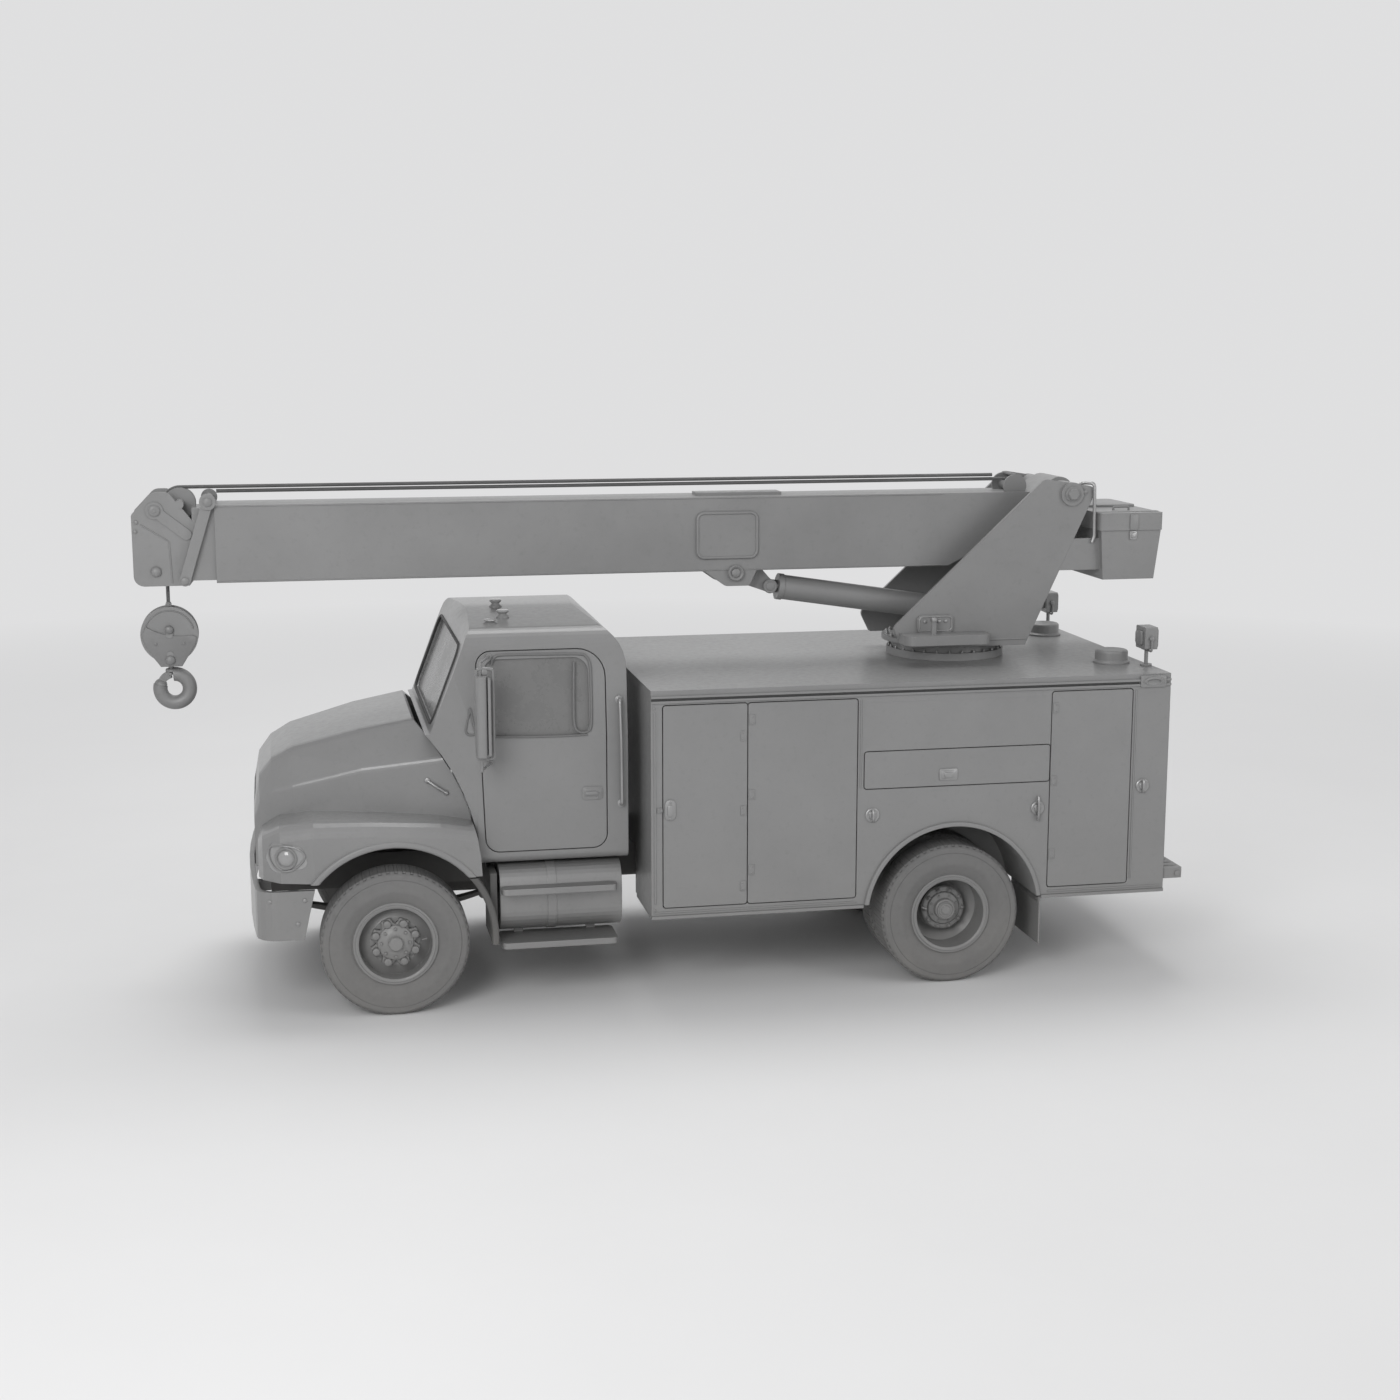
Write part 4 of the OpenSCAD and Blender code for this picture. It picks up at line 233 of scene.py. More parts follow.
FINISHES = {
    "cab_paint": "front_bumper cab_shell hood cab_door_left cab_door_right mirror_left mirror_right",
    "body_paint": "service_body body_trim rear_bumper roof_fittings rear_door "
                  + " ".join(f"locker_door_{s}_{p}" for s in ("left", "right") for p in ("front", "mid",
                  "upper", "rear")),
    "boom_paint": "pedestal turret console toolbox toolbox_lid boom_base boom_tip hook_block winch",
    "frame_black": "frame_rails front_axle rear_axle engine splash_guards knuckle_left knuckle_right",
    "tread_alloy": "cab_steps fuel_tanks",
    "wheel_steel": "front_wheel_left front_wheel_right rear_wheel_left rear_wheel_right",
    "tyre_front": "front_tyre_left front_tyre_right",
    "tyre_rear": "rear_tyres_left rear_tyres_right",
    "window_glass": "cab_glass door_glass_left door_glass_right",
    "lamp_lens": "headlamps",
    "grille_grey": "grille",
    "cab_trim": "cab_interior",
    "rope_along": "boom_rope tip_rope",
    "cylinder_paint": "lift_barrel",
    "rod_chrome": "lift_rod",
    "forged_steel": "hook",
}
for finish, members in FINISHES.items():
    for member in members.split():
        NODES[member].data.materials.clear()
        NODES[member].data.materials.append(MATERIALS[finish])


# Mesh pieces
TREES = {}


def touch(name, start, direction):
    """Where a ray meets a node's skin, as a point and its normal; X from the rear axle."""
    if name not in TREES:
        mesh = NODES[name].data
        TREES[name] = BVHTree.FromPolygons([v.co for v in mesh.vertices],
            [p.vertices for p in mesh.polygons])
    hit, normal, _, _ = TREES[name].ray_cast(Vector(start) + AXLE, Vector(direction))
    if hit is None:
        raise ValueError(f"no skin of {name} at {start}")
    return hit - AXLE, normal if normal.dot(Vector(direction)) < 0 else -normal


def beside(name, side, x, z):
    """Skin of a node seen from one side."""
    return touch(name, (x, side * 3.0, z), (0, -side, 0))


def arc_points(centre, radius, start, end, steps):
    return [(centre[0] + radius * math.cos(start + (end - start) * i / steps),
             centre[1] + radius * math.sin(start + (end - start) * i / steps)) for i in range(steps + 1)]


def round_box(lo, hi, radius, steps=6):
    """Outline of a rectangle with round corners."""
    (a, b), (c, d) = lo, hi
    r = min(radius, (c - a) / 2 * 0.999, (d - b) / 2 * 0.999)
    quarter = math.pi / 2
    corners = ((c - r, b + r, -1), (c - r, d - r, 0), (a + r, d - r, 1), (a + r, b + r, 2))
    return [p for x, y, q in corners for p in arc_points((x, y), r, q * quarter, (q + 1) * quarter, steps)]


def smooth_line(points, closed=False, steps=6):
    """Curve through the points."""
    pts = [Vector(p) for p in points]
    n = len(pts)
    made = []
    for i in range(n if closed else n - 1):
        p0, p1, p2, p3 = (pts[(i + k) % n] if closed else pts[min(max(i + k, 0), n - 1)] for k in (-1, 0, 1,
            2))
        for j in range(steps):
            t = j / steps
            made.append(0.5 * (2 * p1 + (p2 - p0) * t + (2 * p0 - 5 * p1 + 4 * p2 - p3) * t * t
                               + (3 * p1 - p0 - 3 * p2 + p3) * t ** 3))
    return made if closed else made + [pts[-1]]


def bent_line(points, radius, steps=5):
    """Straight runs joined by round bends."""
    pts = [Vector(p) for p in points]
    made = [pts[0]]
    for a, b, c in zip(pts, pts[1:], pts[2:]):
        u, v = (a - b), (c - b)
        r = min(radius, u.length * 0.48, v.length * 0.48)
        s, e = b + u.normalized() * r, b + v.normalized() * r
        shares = [k / steps for k in range(steps + 1)]
        made += [s * (1 - t) ** 2 + b * 2 * t * (1 - t) + e * t * t for t in shares]
    return made + [pts[-1]]


class Piece:
    """Solids of one dressed piece, gathered in one mesh."""

    def __init__(self):
        self.mesh = bmesh.new()

    def take(self, part, matrix=None):
        if matrix is not None:
            part.transform(matrix)
        bmesh.ops.recalc_face_normals(part, faces=part.faces)
        held = bpy.data.meshes.new("held")
        part.to_mesh(held)
        part.free()
        self.mesh.from_mesh(held)
        bpy.data.meshes.remove(held)
        return self

    def slab(self, outline, axis, lo, hi, bevel=0.003, segments=2):
        """Outline in the two other axes, in the order x, y, z, stretched along one axis."""
        part = bmesh.new()
        order = {"x": lambda p, t: (t, p[0], p[1]), "y": lambda p, t: (p[0], t, p[1]), "z": lambda p,
            t: (p[0], p[1], t)}[axis]
        low = [part.verts.new(order(p, lo)) for p in outline]
        high = [part.verts.new(order(p, hi)) for p in outline]
        caps = [part.faces.new(low), part.faces.new(high)]
        for i in range(len(outline)):
            j = (i + 1) % len(outline)
            part.faces.new((low[i], low[j], high[j], high[i]))
        if bevel:
            rims = {e for f in caps for e in f.edges}
            rims |= {e for e in part.edges if e.calc_face_angle(0.0) > 0.6}
            bmesh.ops.bevel(part, geom=list(rims), offset=bevel, segments=segments, profile=0.5,
                affect="EDGES", clamp_overlap=True)
        return self.take(part)

    def box(self, lo, hi, bevel=0.004, segments=2):
        a, b = [min(p, q) for p, q in zip(lo, hi)], [max(p, q) for p, q in zip(lo, hi)]
        return self.slab([(a[0], a[1]), (b[0], a[1]), (b[0], b[1]), (a[0], b[1])], "z", a[2], b[2], bevel,
            segments)

    def lathe(self, profile, at, axis, steps=32):
        """Turned piece: radius and height pairs from the axis out and back to the axis."""
        part = bmesh.new()
        rows = []
        for r, h in profile:
            if r < 1e-6:
                rows.append([part.verts.new((0, 0, h))])
            else:
                rows.append([part.verts.new((r * math.cos(2 * math.pi * i / steps),
                    r * math.sin(2 * math.pi * i / steps), h))
                             for i in range(steps)])
        pairs = list(zip(rows, rows[1:]))
        if len(rows[0]) > 1 and len(rows[-1]) > 1:
            pairs.append((rows[-1], rows[0]))
        for a, b in pairs:
            for i in range(steps):
                j = (i + 1) % steps
                ring = [a[i % len(a)], a[j % len(a)], b[j % len(b)], b[i % len(b)]]
                seen = list(dict.fromkeys(ring))
                if len(seen) > 2:
                    part.faces.new(seen)
        turn = AXES[axis] if isinstance(axis, str) else Vector(axis)
        return self.take(part, Matrix.Translation(Vector(at)) @ turn.to_track_quat("Z",
            "Y").to_matrix().to_4x4())

    def stud(self, at, axis, r, h, dome=0.35, steps=20):
        """Round head with a softened rim."""
        e = min(r, h) * dome
        return self.lathe([(0, 0), (r, 0), (r, h - e), (r - e * 0.3, h - e * 0.3), (r - e, h), (0, h)], at,
            axis, steps)

    def hexnut(self, at, axis, r, h):
        """Chamfered hexagon on a washer, with the bolt's end."""
        self.stud(at, axis, r * 1.35, h * 0.22, steps=24)
        turn = AXES[axis] if isinstance(axis, str) else Vector(axis).normalized()
        self.lathe([(0, h * 0.2), (r * 1.0, h * 0.2), (r * 1.0, h * 0.85), (r * 0.86, h), (0, h)], at, axis,
            6)
        return self.stud(Vector(at) + turn * h, axis, r * 0.52, h * 0.35, steps=16)

    def tube(self, points, r, sides=10, closed=False):
        """Round bar along a line, with closed ends."""
        pts = [Vector(p) for p in points]
        part = bmesh.new()
        n = len(pts)
        rings = []
        normal = None
        for i, p in enumerate(pts):
            a = pts[i - 1] if i or closed else p
            b = pts[(i + 1) % n] if i < n - 1 or closed else p
            along = (b - a).normalized()
            if normal is None:
                normal = along.orthogonal().normalized()
            normal = (normal - along * normal.dot(along)).normalized()
            other = along.cross(normal)
            turns = [2 * math.pi * k / sides for k in range(sides)]
            rings.append([part.verts.new(p + r * (normal * math.cos(t) + other * math.sin(t))) for t in turns])
        pairs = list(zip(rings, rings[1:]))
        if closed:
            tail, head = rings[-1], rings[0]
            shift = min(range(sides), key=lambda s: (tail[0].co - head[s].co).length)
            pairs.append((tail, head[shift:] + head[:shift]))
        for a, b in pairs:
            for k in range(sides):
                part.faces.new((a[k], a[(k + 1) % sides], b[(k + 1) % sides], b[k]))
        if not closed:
            part.faces.new(rings[0])
            part.faces.new(rings[-1])
        return self.take(part)

    def done(self, name, body, finish):
        held = bpy.data.meshes.new(name)
        self.mesh.to_mesh(held)
        self.mesh.free()
        held.transform(Matrix.Translation(AXLE))
        held.shade_smooth()
        held.set_sharp_from_angle(angle=math.radians(38))
        held.materials.append(MATERIALS[finish])
        made = bpy.data.objects.new(name, held)
        bpy.context.scene.collection.objects.link(made)
        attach(made, body)
        return made


# Camera, light and stage
scene = bpy.context.scene
scene.view_settings.view_transform = "Standard"
camera = bpy.data.objects.new("camera", bpy.data.cameras.new("camera"))
camera.data.lens = 54.0
camera.data.sensor_width = 36.0
camera.data.clip_end = 300.0
camera.location = (2.7115, 14.858, 4.641)
camera.rotation_euler = Vector((-0.1959, -0.9641, -0.1790)).to_track_quat("-Z", "Y").to_euler()
scene.collection.objects.link(camera)
scene.camera = camera


def area_light(name, at, target, size, power):
    data = bpy.data.lights.new(name, "AREA")
    data.shape = "DISK"
    data.size = size
    data.energy = power
    made = bpy.data.objects.new(name, data)
    made.location = at
    made.rotation_euler = (Vector(target) - Vector(at)).to_track_quat("-Z", "Y").to_euler()
    scene.collection.objects.link(made)


area_light("key", (7.0, 12.0, 7.5), (0.2, 0, 1.5), 7.0, 820)
area_light("fill", (-10.0, 9.0, 6.0), (-0.5, 0, 1.5), 7.0, 260)
area_light("top", (-1.0, -6.0, 15.0), (-1.0, -6.0, 0), 12.0, 1150)

BACKGROUND = (0.74, 0.74, 0.745)


def seen_rays(tree):
    ray = node(tree, "LightPath")
    seen = maths(tree, "MAXIMUM", ray.outputs["Is Camera Ray"], ray.outputs["Is Glossy Ray"])
    return maths(tree, "MAXIMUM", seen, ray.outputs["Is Transmission Ray"])


world = bpy.data.worlds.new("studio")
world.use_nodes = True
scene.world = world
tree = world.node_tree
sky = tree.nodes["Background"]
tree.links.new(mixed(tree, seen_rays(tree), (0.44, 0.44, 0.445), BACKGROUND), sky.inputs["Color"])


def studio_floor():
    """Pale round floor that fades into the background colour on every side."""
    mesh = bmesh.new()
    bmesh.ops.create_circle(mesh, cap_ends=True, segments=96, radius=140.0)
    held = bpy.data.meshes.new("studio_floor")
    mesh.to_mesh(held)
    mesh.free()
    paper = bpy.data.materials.new("studio_paper")
    paper.use_nodes = True
    tree = paper.node_tree
    shader = tree.nodes["Principled BSDF"]
    at = node(tree, "TexCoord").outputs["Object"]
    tree.links.new(mixed(tree, noise(tree, at, 0.6), (0.76, 0.76, 0.76), (0.8, 0.8, 0.8)),
        shader.inputs["Base Color"])
    tree.links.new(spread(tree, noise(tree, at, 9.0), 0.0, 1.0, 0.7, 0.85), shader.inputs["Roughness"])
    away = node(tree, "VectorMath")
    away.operation = "LENGTH"
    tree.links.new(at, away.inputs[0])
    far = spread(tree, away.outputs["Value"], 5.0, 20.0)
    glow = node(tree, "Emission")
    glow.inputs["Color"].default_value = (*BACKGROUND, 1.0)
    blend = node(tree, "MixShader")
    tree.links.new(maths(tree, "MULTIPLY", far, seen_rays(tree)), blend.inputs["Fac"])
    tree.links.new(shader.outputs["BSDF"], blend.inputs[1])
    tree.links.new(glow.outputs["Emission"], blend.inputs[2])
    tree.links.new(blend.outputs["Shader"], tree.nodes["Material Output"].inputs["Surface"])
    held.materials.append(paper)
    made = bpy.data.objects.new("studio_floor", held)
    scene.collection.objects.link(made)


studio_floor()


# Wheels
RIM_RING = ((0.246, 0.112), (0.262, 0.112), (0.268, 0.115), (0.270, 0.119), (0.267, 0.123),
            (0.258, 0.121), (0.250, 0.118))


def front_wheel_trim(side, name):
    centre = Vector((FRONT_AXLE_X, 0, WHEEL_Z))
    out = Vector((0, side, 0))
    flange = Piece()
    teeth = []
    for i in range(8):
        a = 2 * math.pi * (i + 0.5) / 8
        teeth += arc_points((0.0, 0.0), 0.168, a - 0.23, a + 0.23, 6)
        teeth += arc_points((0.0, 0.0), 0.128, a + 0.29, a + 0.50, 3)
    face = side * 1.052
    flange.slab([(centre.x + x, centre.z + z) for x, z in teeth], "y", face, face + side * 0.030, 0.006, 3)
    flange.lathe([(0.05, 0.028), (0.126, 0.028), (0.118, 0.046), (0.085, 0.056), (0.074, 0.062),
        (0.05, 0.062)], centre + out * abs(face), out, 48)
    flange.done(f"hub_flange_{name}", f"front_wheel_{name}", "wheel_steel")
    nuts = Piece()
    for i in range(8):
        a = 2 * math.pi * (i + 0.5) / 8
        at = centre + out * (abs(face) + 0.030) + Vector((math.cos(a), 0, math.sin(a))) * 0.142
        nuts.stud(at, out, 0.0265, 0.034, 0.3, 24)
        b = a + math.pi / 8
        nuts.stud(centre + out * (abs(face) + 0.050) + Vector((math.cos(b), 0, math.sin(b))) * 0.096, out,
            0.011, 0.014, 0.4, 14)
    nuts.done(f"wheel_nuts_{name}", f"front_wheel_{name}", "forged_steel")
    cap = Piece()
    cap.lathe([(0.0462, 0.04), (0.058, 0.04), (0.058, 0.056), (0.052, 0.062), (0.048, 0.092),
        (0.040, 0.099), (0, 0.101), (0, 0.094), (0.036, 0.092), (0.0462, 0.085)],
        centre + out * abs(face), out, 40)
    cap.done(f"hub_cap_{name}", f"front_wheel_{name}", "wheel_steel")
    ring = Piece()
    ring.lathe(RIM_RING, centre + out * 1.010, out, 72)
    stem = [centre + out * 1.085 + Vector((-0.205, 0, 0.02)), centre + out * 1.105 + Vector((-0.212, 0, 0.02)),
            centre + out * 1.118 + Vector((-0.175, 0, 0.018))]
    ring.tube(bent_line(stem, 0.01), 0.005, 8)
    ring.done(f"rim_ring_{name}", f"front_wheel_{name}", "wheel_steel")


def rear_wheel_trim(side, name):
    centre = Vector((0, 0, WHEEL_Z))
    out = Vector((0, side, 0))
    hub = Piece()
    hub.lathe([(0.122, 0.0), (0.156, 0.004), (0.160, 0.018), (0.150, 0.030), (0.122, 0.034)],
        centre + out * 0.978, out, 56)
    hub.lathe([(0.0586, 0.0), (0.118, 0.0), (0.112, 0.012), (0.078, 0.020), (0.074, 0.052), (0.066, 0.058),
        (0.0586, 0.058)], centre + out * 1.0105, out, 48)
    hub.done(f"rear_hub_{name}", f"rear_wheel_{name}", "wheel_steel")
    nuts = Piece()
    for i in range(10):
        a = 2 * math.pi * i / 10
        nuts.hexnut(centre + out * 1.011 + Vector((math.cos(a), 0, math.sin(a))) * 0.137, out, 0.014, 0.022)
    for i in range(8):
        a = 2 * math.pi * (i + 0.5) / 8
        nuts.stud(centre + out * 1.020 + Vector((math.cos(a), 0, math.sin(a))) * 0.096, out, 0.009, 0.014,
            0.4, 12)
    nuts.done(f"rear_nuts_{name}", f"rear_wheel_{name}", "forged_steel")
    cap = Piece()
    cap.lathe([(0.0, 0.038), (0.030, 0.038), (0.034, 0.030), (0.050, 0.028), (0.056, 0.040), (0.063, 0.040),
        (0.063, 0.026), (0.0, 0.022)][::-1], centre + out * 1.042, out, 40)
    cap.done(f"rear_cap_{name}", f"rear_wheel_{name}", "wheel_steel")
    ring = Piece()
    ring.lathe(RIM_RING, centre + out * 1.055, out, 72)
    stem = [centre + out * 1.09 + Vector((0.19, 0, 0.05)), centre + out * 1.15 + Vector((0.20, 0, 0.05)),
            centre + out * 1.165 + Vector((0.17, 0, 0.045))]
    ring.tube(bent_line(stem, 0.012), 0.005, 8)
    ring.done(f"rear_rim_ring_{name}", f"rear_wheel_{name}", "wheel_steel")


for side, name in SIDES:
    front_wheel_trim(side, name)
    rear_wheel_trim(side, name)


# Lockers
def round_latch(piece, at, out, r, lever):
    """Turned rose with a folding T handle."""
    at, out = Vector(at), Vector(out)
    piece.lathe([(0, 0), (r, 0), (r, 0.006), (r * 0.86, 0.011), (r * 0.62, 0.008), (r * 0.55, 0.008),
        (r * 0.5, 0.016), (0, 0.018)], at, out, 36)
    along = Vector((0, 0, 1)) if abs(out.z) < 0.5 else Vector((1, 0, 0))
    piece.tube(smooth_line([at + out * 0.014 - along * lever, at + out * 0.026 - along * lever * 0.55,
        at + out * 0.026 + along * lever * 0.55, at + out * 0.014 + along * lever]), r * 0.2, 10)


for side, name in SIDES:
    y = side * BODY_Y
    fixed = Piece()
    for x, z, r, lever in ((0.595, 1.254, 0.052, 0.040), (-0.610, 1.249, 0.050, 0.085),
            (-1.390, 1.376, 0.050, 0.045)):
        round_latch(fixed, (x, y, z), (0, side, 0), r, lever)
    fixed.done(f"body_latches_{name}", "chassis", "zinc")
    strap = Piece()
    strap.slab(round_box((1.982, 1.285), (2.056, 1.430), 0.034), "y", y, y + side * 0.010, 0.004)
    strap.slab(round_box((2.000, 1.312), (2.040, 1.396), 0.018), "y", y + side * 0.009, y + side * 0.019,
        0.004)
    strap.stud((2.02, y + side * 0.010, 1.414), (0, side, 0), 0.008, 0.006)
    strap.stud((2.02, y + side * 0.010, 1.299), (0, side, 0), 0.008, 0.006)
    strap.done(f"strap_latch_{name}", f"locker_door_{name}_front", "zinc")
    keeper = Piece()
    keeper.box((2.074, y, 1.340), (2.108, y + side * 0.012, 1.376), 0.004)
    keeper.box((2.074, y + side * 0.010, 1.349), (2.090, y + side * 0.020, 1.367), 0.003)
    for z in (0.66, 2.06):
        keeper.stud((2.128, y, z), (0, side, 0), 0.010, 0.007)
    keeper.slab(round_box((2.117, 0.70), (2.129, 2.03), 0.006), "y", y, y + side * 0.006, 0.002)
    keeper.done(f"latch_keeper_{name}", "chassis", "body_paint")
    paddle = Piece()
    paddle.slab(round_box((-0.014, 1.480), (0.118, 1.562), 0.014), "y", y, y + side * 0.007, 0.003)
    paddle.slab(round_box((0.004, 1.494), (0.100, 1.548), 0.010), "y", y + side * 0.006, y + side * 0.010,
        0.002)
    paddle.slab(round_box((0.020, 1.503), (0.084, 1.538), 0.012), "y", y + side * 0.009, y + side * 0.019,
        0.005, 3)
    paddle.done(f"paddle_latch_{name}", f"locker_door_{name}_upper", "zinc")
    corner = Piece()
    corner.slab(round_box((-1.535, 2.086), (-1.345, 2.170), 0.012), "y", y + side * 0.004, y + side * 0.017,
        0.004)
    corner.tube([(-1.44 + 0.062 * math.cos(a), y + side * (0.022 + 0.010 * math.sin(a)),
        2.128 + 0.024 * math.sin(a)) for a in (2 * math.pi * i / 28 for i in range(28))], 0.008, 10, True)
    corner.stud((-1.502, y + side * 0.014, 2.128), (0, side, 0), 0.013, 0.014)
    corner.stud((-1.378, y + side * 0.014, 2.128), (0, side, 0), 0.013, 0.014)
    corner.done(f"lashing_ring_{name}", "chassis", "body_paint")
    hinges = {"front": (1.4845, 1), "mid": (1.4775, -1), "rear": (-0.699, -1)}
    for part, (x, way) in hinges.items():
        barrel = Piece()
        for z in ((0.80, 1.33, 1.85) if part == "front" else (0.91, 1.44, 1.96)):
            barrel.box((x + way * 0.006, y, z - 0.036), (x + way * 0.046, y + side * 0.004, z + 0.036),
                0.0015)
            for k in (-0.022, 0.022):
                barrel.stud((x + way * 0.030, y + side * 0.003, z + k), (0, side, 0), 0.006, 0.004,
                    steps=12)
        barrel.done(f"hinge_leaves_{name}_{part}", f"locker_door_{name}_{part}", "body_paint")
    beads = Piece()
    low = 0.672
    for x0, x1 in ((0.70, 2.13), (-1.55, -0.70)):
        bead = round_box((x0, low - 0.036), (x1, low - 0.026), 0.004)
        beads.slab(bead, "y", y, y + side * 0.006, 0.002)
    beads.slab(round_box((0.678, 1.45), (0.688, 2.07), 0.004), "y", y, y + side * 0.005, 0.002)
    beads.slab(round_box((-1.325, 0.70), (-1.315, 2.07), 0.004), "y", y, y + side * 0.005, 0.002)
    beads.done(f"body_beads_{name}", "chassis", "body_paint")
    flap = Piece()
    for k in range(5):
        flap.stud((-0.660, side * (0.66 + k * 0.115), 0.565), "x", 0.012, 0.009, steps=14)
    flap.box((-0.660, side * 0.61, 0.545), (-0.654, side * 1.165, 0.588), 0.002)
    flap.done(f"flap_bolts_{name}", "chassis", "zinc")


# Cab
def on_shell(side, x, z, lift=0.0):
    """Skin of the cab's side: door, glass or shell, whichever stands out most."""
    found = []
    for name in ("cab_door_", "door_glass_"):
        try:
            found.append(beside(name + ("left" if side > 0 else "right"), side, x, z))
        except ValueError:
            continue
    try:
        found.append(beside("cab_shell", side, x, z))
    except ValueError:
        pass
    p, n = max(found, key=lambda f: f[0].y * side)
    return p + n * lift


ALMOND = ((4.680, 1.185), (4.610, 1.203), (4.520, 1.190), (4.465, 1.150), (4.472, 1.105), (4.530, 1.048),
    (4.600, 1.030), (4.660, 1.052), (4.690, 1.115))
for side, name in SIDES:
    door = f"cab_door_{name}"
    frame_bar = Piece()
    outer = [(2.533, 1.884), (2.519, 1.95), (2.516, 2.20), (2.520, 2.33), (2.545, 2.385), (2.60, 2.405),
        (2.85, 2.410), (3.10, 2.414), (3.165, 2.400), (3.186, 2.35)]
    frame_bar.tube(smooth_line([on_shell(side, x, z, 0.004) for x, z in outer]), 0.010, 10)
    loop = [(2.629, 2.355), (2.634, 2.20), (2.638, 2.00), (2.632, 1.915), (2.606, 1.880), (2.570, 1.874),
        (2.533, 1.884)]
    frame_bar.tube(smooth_line([Vector((x, on_shell(side, 2.500, z, 0.003).y, z)) for x, z in loop]), 0.009,
        10)
    sill = [(2.55, 1.858), (2.80, 1.856), (3.05, 1.862), (3.19, 1.868)]
    sill_y = on_shell(side, 2.500, 1.85, 0.004).y
    frame_bar.tube(smooth_line([Vector((x, sill_y, z)) for x, z in sill]), 0.008, 8)
    quarter = [(3.262, 1.90), (3.275, 1.97), (3.292, 2.06), (3.300, 2.03), (3.318, 1.95), (3.322, 1.90),
        (3.292, 1.882)]
    frame_bar.done(f"window_frame_{name}", door, "window_trim")
    vent = Piece()
    vent.tube(smooth_line([on_shell(side, x + 0.045, z, 0.003) for x, z in quarter], True), 0.008, 8, True)
    vent.done(f"quarter_frame_{name}", "chassis", "window_trim")
    pull = Piece()
    base, n = beside(door, side, 2.517, 1.45)
    y = base.y
    pull.slab(round_box((2.447, 1.404), (2.589, 1.496), 0.022), "y", y - side * 0.004, y + side * 0.007,
        0.003)
    pull.slab(round_box((2.458, 1.430), (2.578, 1.486), 0.016), "y", y + side * 0.006, y + side * 0.010,
        0.002)
    pull.slab([(2.472, 1.452), (2.498, 1.440), (2.566, 1.440), (2.572, 1.450), (2.566, 1.462),
        (2.498, 1.468)], "y", y + side * 0.009, y + side * 0.024, 0.005, 3)
    pull.stud((2.482, y + side * 0.006, 1.418), (0, side, 0), 0.009, 0.006)
    pull.done(f"door_handle_{name}", door, "cab_paint")
    arms = Piece()
    ys = side * 1.236
    for x in (3.208, 3.316):
        arms.tube(bent_line([(x, ys, 1.772), (x, ys, 2.366)], 0.02), 0.011, 12)
    arms.tube(bent_line([(3.208, ys, 2.366), (3.262, ys, 2.376), (3.316, ys, 2.366)], 0.03), 0.011, 12)
    arms.tube(bent_line([(3.208, ys, 1.772), (3.262, ys, 1.762), (3.316, ys, 1.772)], 0.03), 0.011, 12)
    arms.slab(round_box((3.232, 1.80), (3.250, 2.32), 0.008), "y", ys - 0.084, ys + 0.084, 0.004)
    for z in (1.79, 2.35):
        arms.stud((3.262, ys - side * 0.014, z), (0, side, 0), 0.022, 0.032, 0.3)
    arms.done(f"mirror_frame_{name}", door, "cab_paint")
    bar = Piece()
    top, low = on_shell(side, 2.327, 2.09), on_shell(side, 2.320, 1.37)
    out = Vector((0, side * 0.052, 0))
    bar.tube(bent_line([top, top + out, Vector((2.323, (low + out).y, 1.80)), low + out, low], 0.04),
        0.0125, 12)
    for p in (top, low):
        bar.stud(p, (0, side, 0), 0.028, 0.010, 0.4)
    bar.done(f"grab_bar_{name}", "chassis", "zinc")
    latch = Piece()
    a, b = beside("hood", side, 3.625, 1.555), beside("hood", side, 3.50, 1.47)
    latch.tube(smooth_line([a[0] + a[1] * 0.004, a[0].lerp(b[0], 0.5) + a[1] * 0.016, b[0] + b[1] * 0.012]),
        0.012, 10)
    latch.lathe([(0, -0.014), (0.012, -0.010), (0.017, 0), (0.012, 0.010), (0, 0.014)], b[0] + b[1] * 0.012,
        b[1], 18)
    latch.stud(a[0], a[1], 0.020, 0.010, 0.4)
    latch.done(f"hood_latch_{name}", "hood", "zinc")
    lamp = Piece()
    almond = []
    for x, z in ALMOND:
        try:
            q, m = beside("headlamps", side, x, z)
        except ValueError:
            q, m = beside("hood", side, x, z)
        almond.append(q + m * 0.002)
    lamp.tube(smooth_line(almond, True), 0.008, 8, True)
    p, n = beside("headlamps", side, 4.585, 1.118)
    lamp.lathe([(0.054, -0.002), (0.076, -0.002), (0.078, 0.006), (0.070, 0.013), (0.058, 0.006)], p, n, 40)
    lamp.done(f"lamp_bezel_{name}", "hood", "cab_paint")
    lens = Piece()
    lens.lathe([(0, 0.016), (0.024, 0.014), (0.044, 0.008), (0.057, -0.002), (0, -0.004)], p, n, 36)
    lens.done(f"lamp_lens_{name}", "hood", "lamp_lens")
    bolts = Piece()
    for x, z in ((4.70, 0.82), (4.47, 0.82), (4.52, 0.66)):
        p, n = beside("front_bumper", side, x, z)
        bolts.stud(p, n, 0.014, 0.008, 0.5)
    bolts.done(f"bumper_bolts_{name}", "chassis", "zinc")

clearance = Piece()
lenses = Piece()
for x, y in ((3.055, 0.0), (3.055, 0.47), (3.163, 0.67)):
    p, n = touch("cab_shell", (x, y, 3.4), (0, 0, -1))
    tall = 1.0 if abs(y) < 0.5 else 0.55
    clearance.lathe([(0, -0.006), (0.046, -0.006), (0.046, 0.006), (0.030, 0.016 * tall + 0.004),
        (0.027, 0.026 * tall + 0.004), (0, 0.026 * tall + 0.004)], p, "z", 32)
    lenses.lathe([(0, 0.026 * tall), (0.027, 0.026 * tall), (0.042, 0.040 * tall), (0.044, 0.046 * tall),
        (0.038, 0.054 * tall), (0, 0.057 * tall)], p, "z", 32)
clearance.done("roof_lamp_bases", "chassis", "cab_paint")
lenses.done("roof_lamps", "chassis", "lamp_lens")

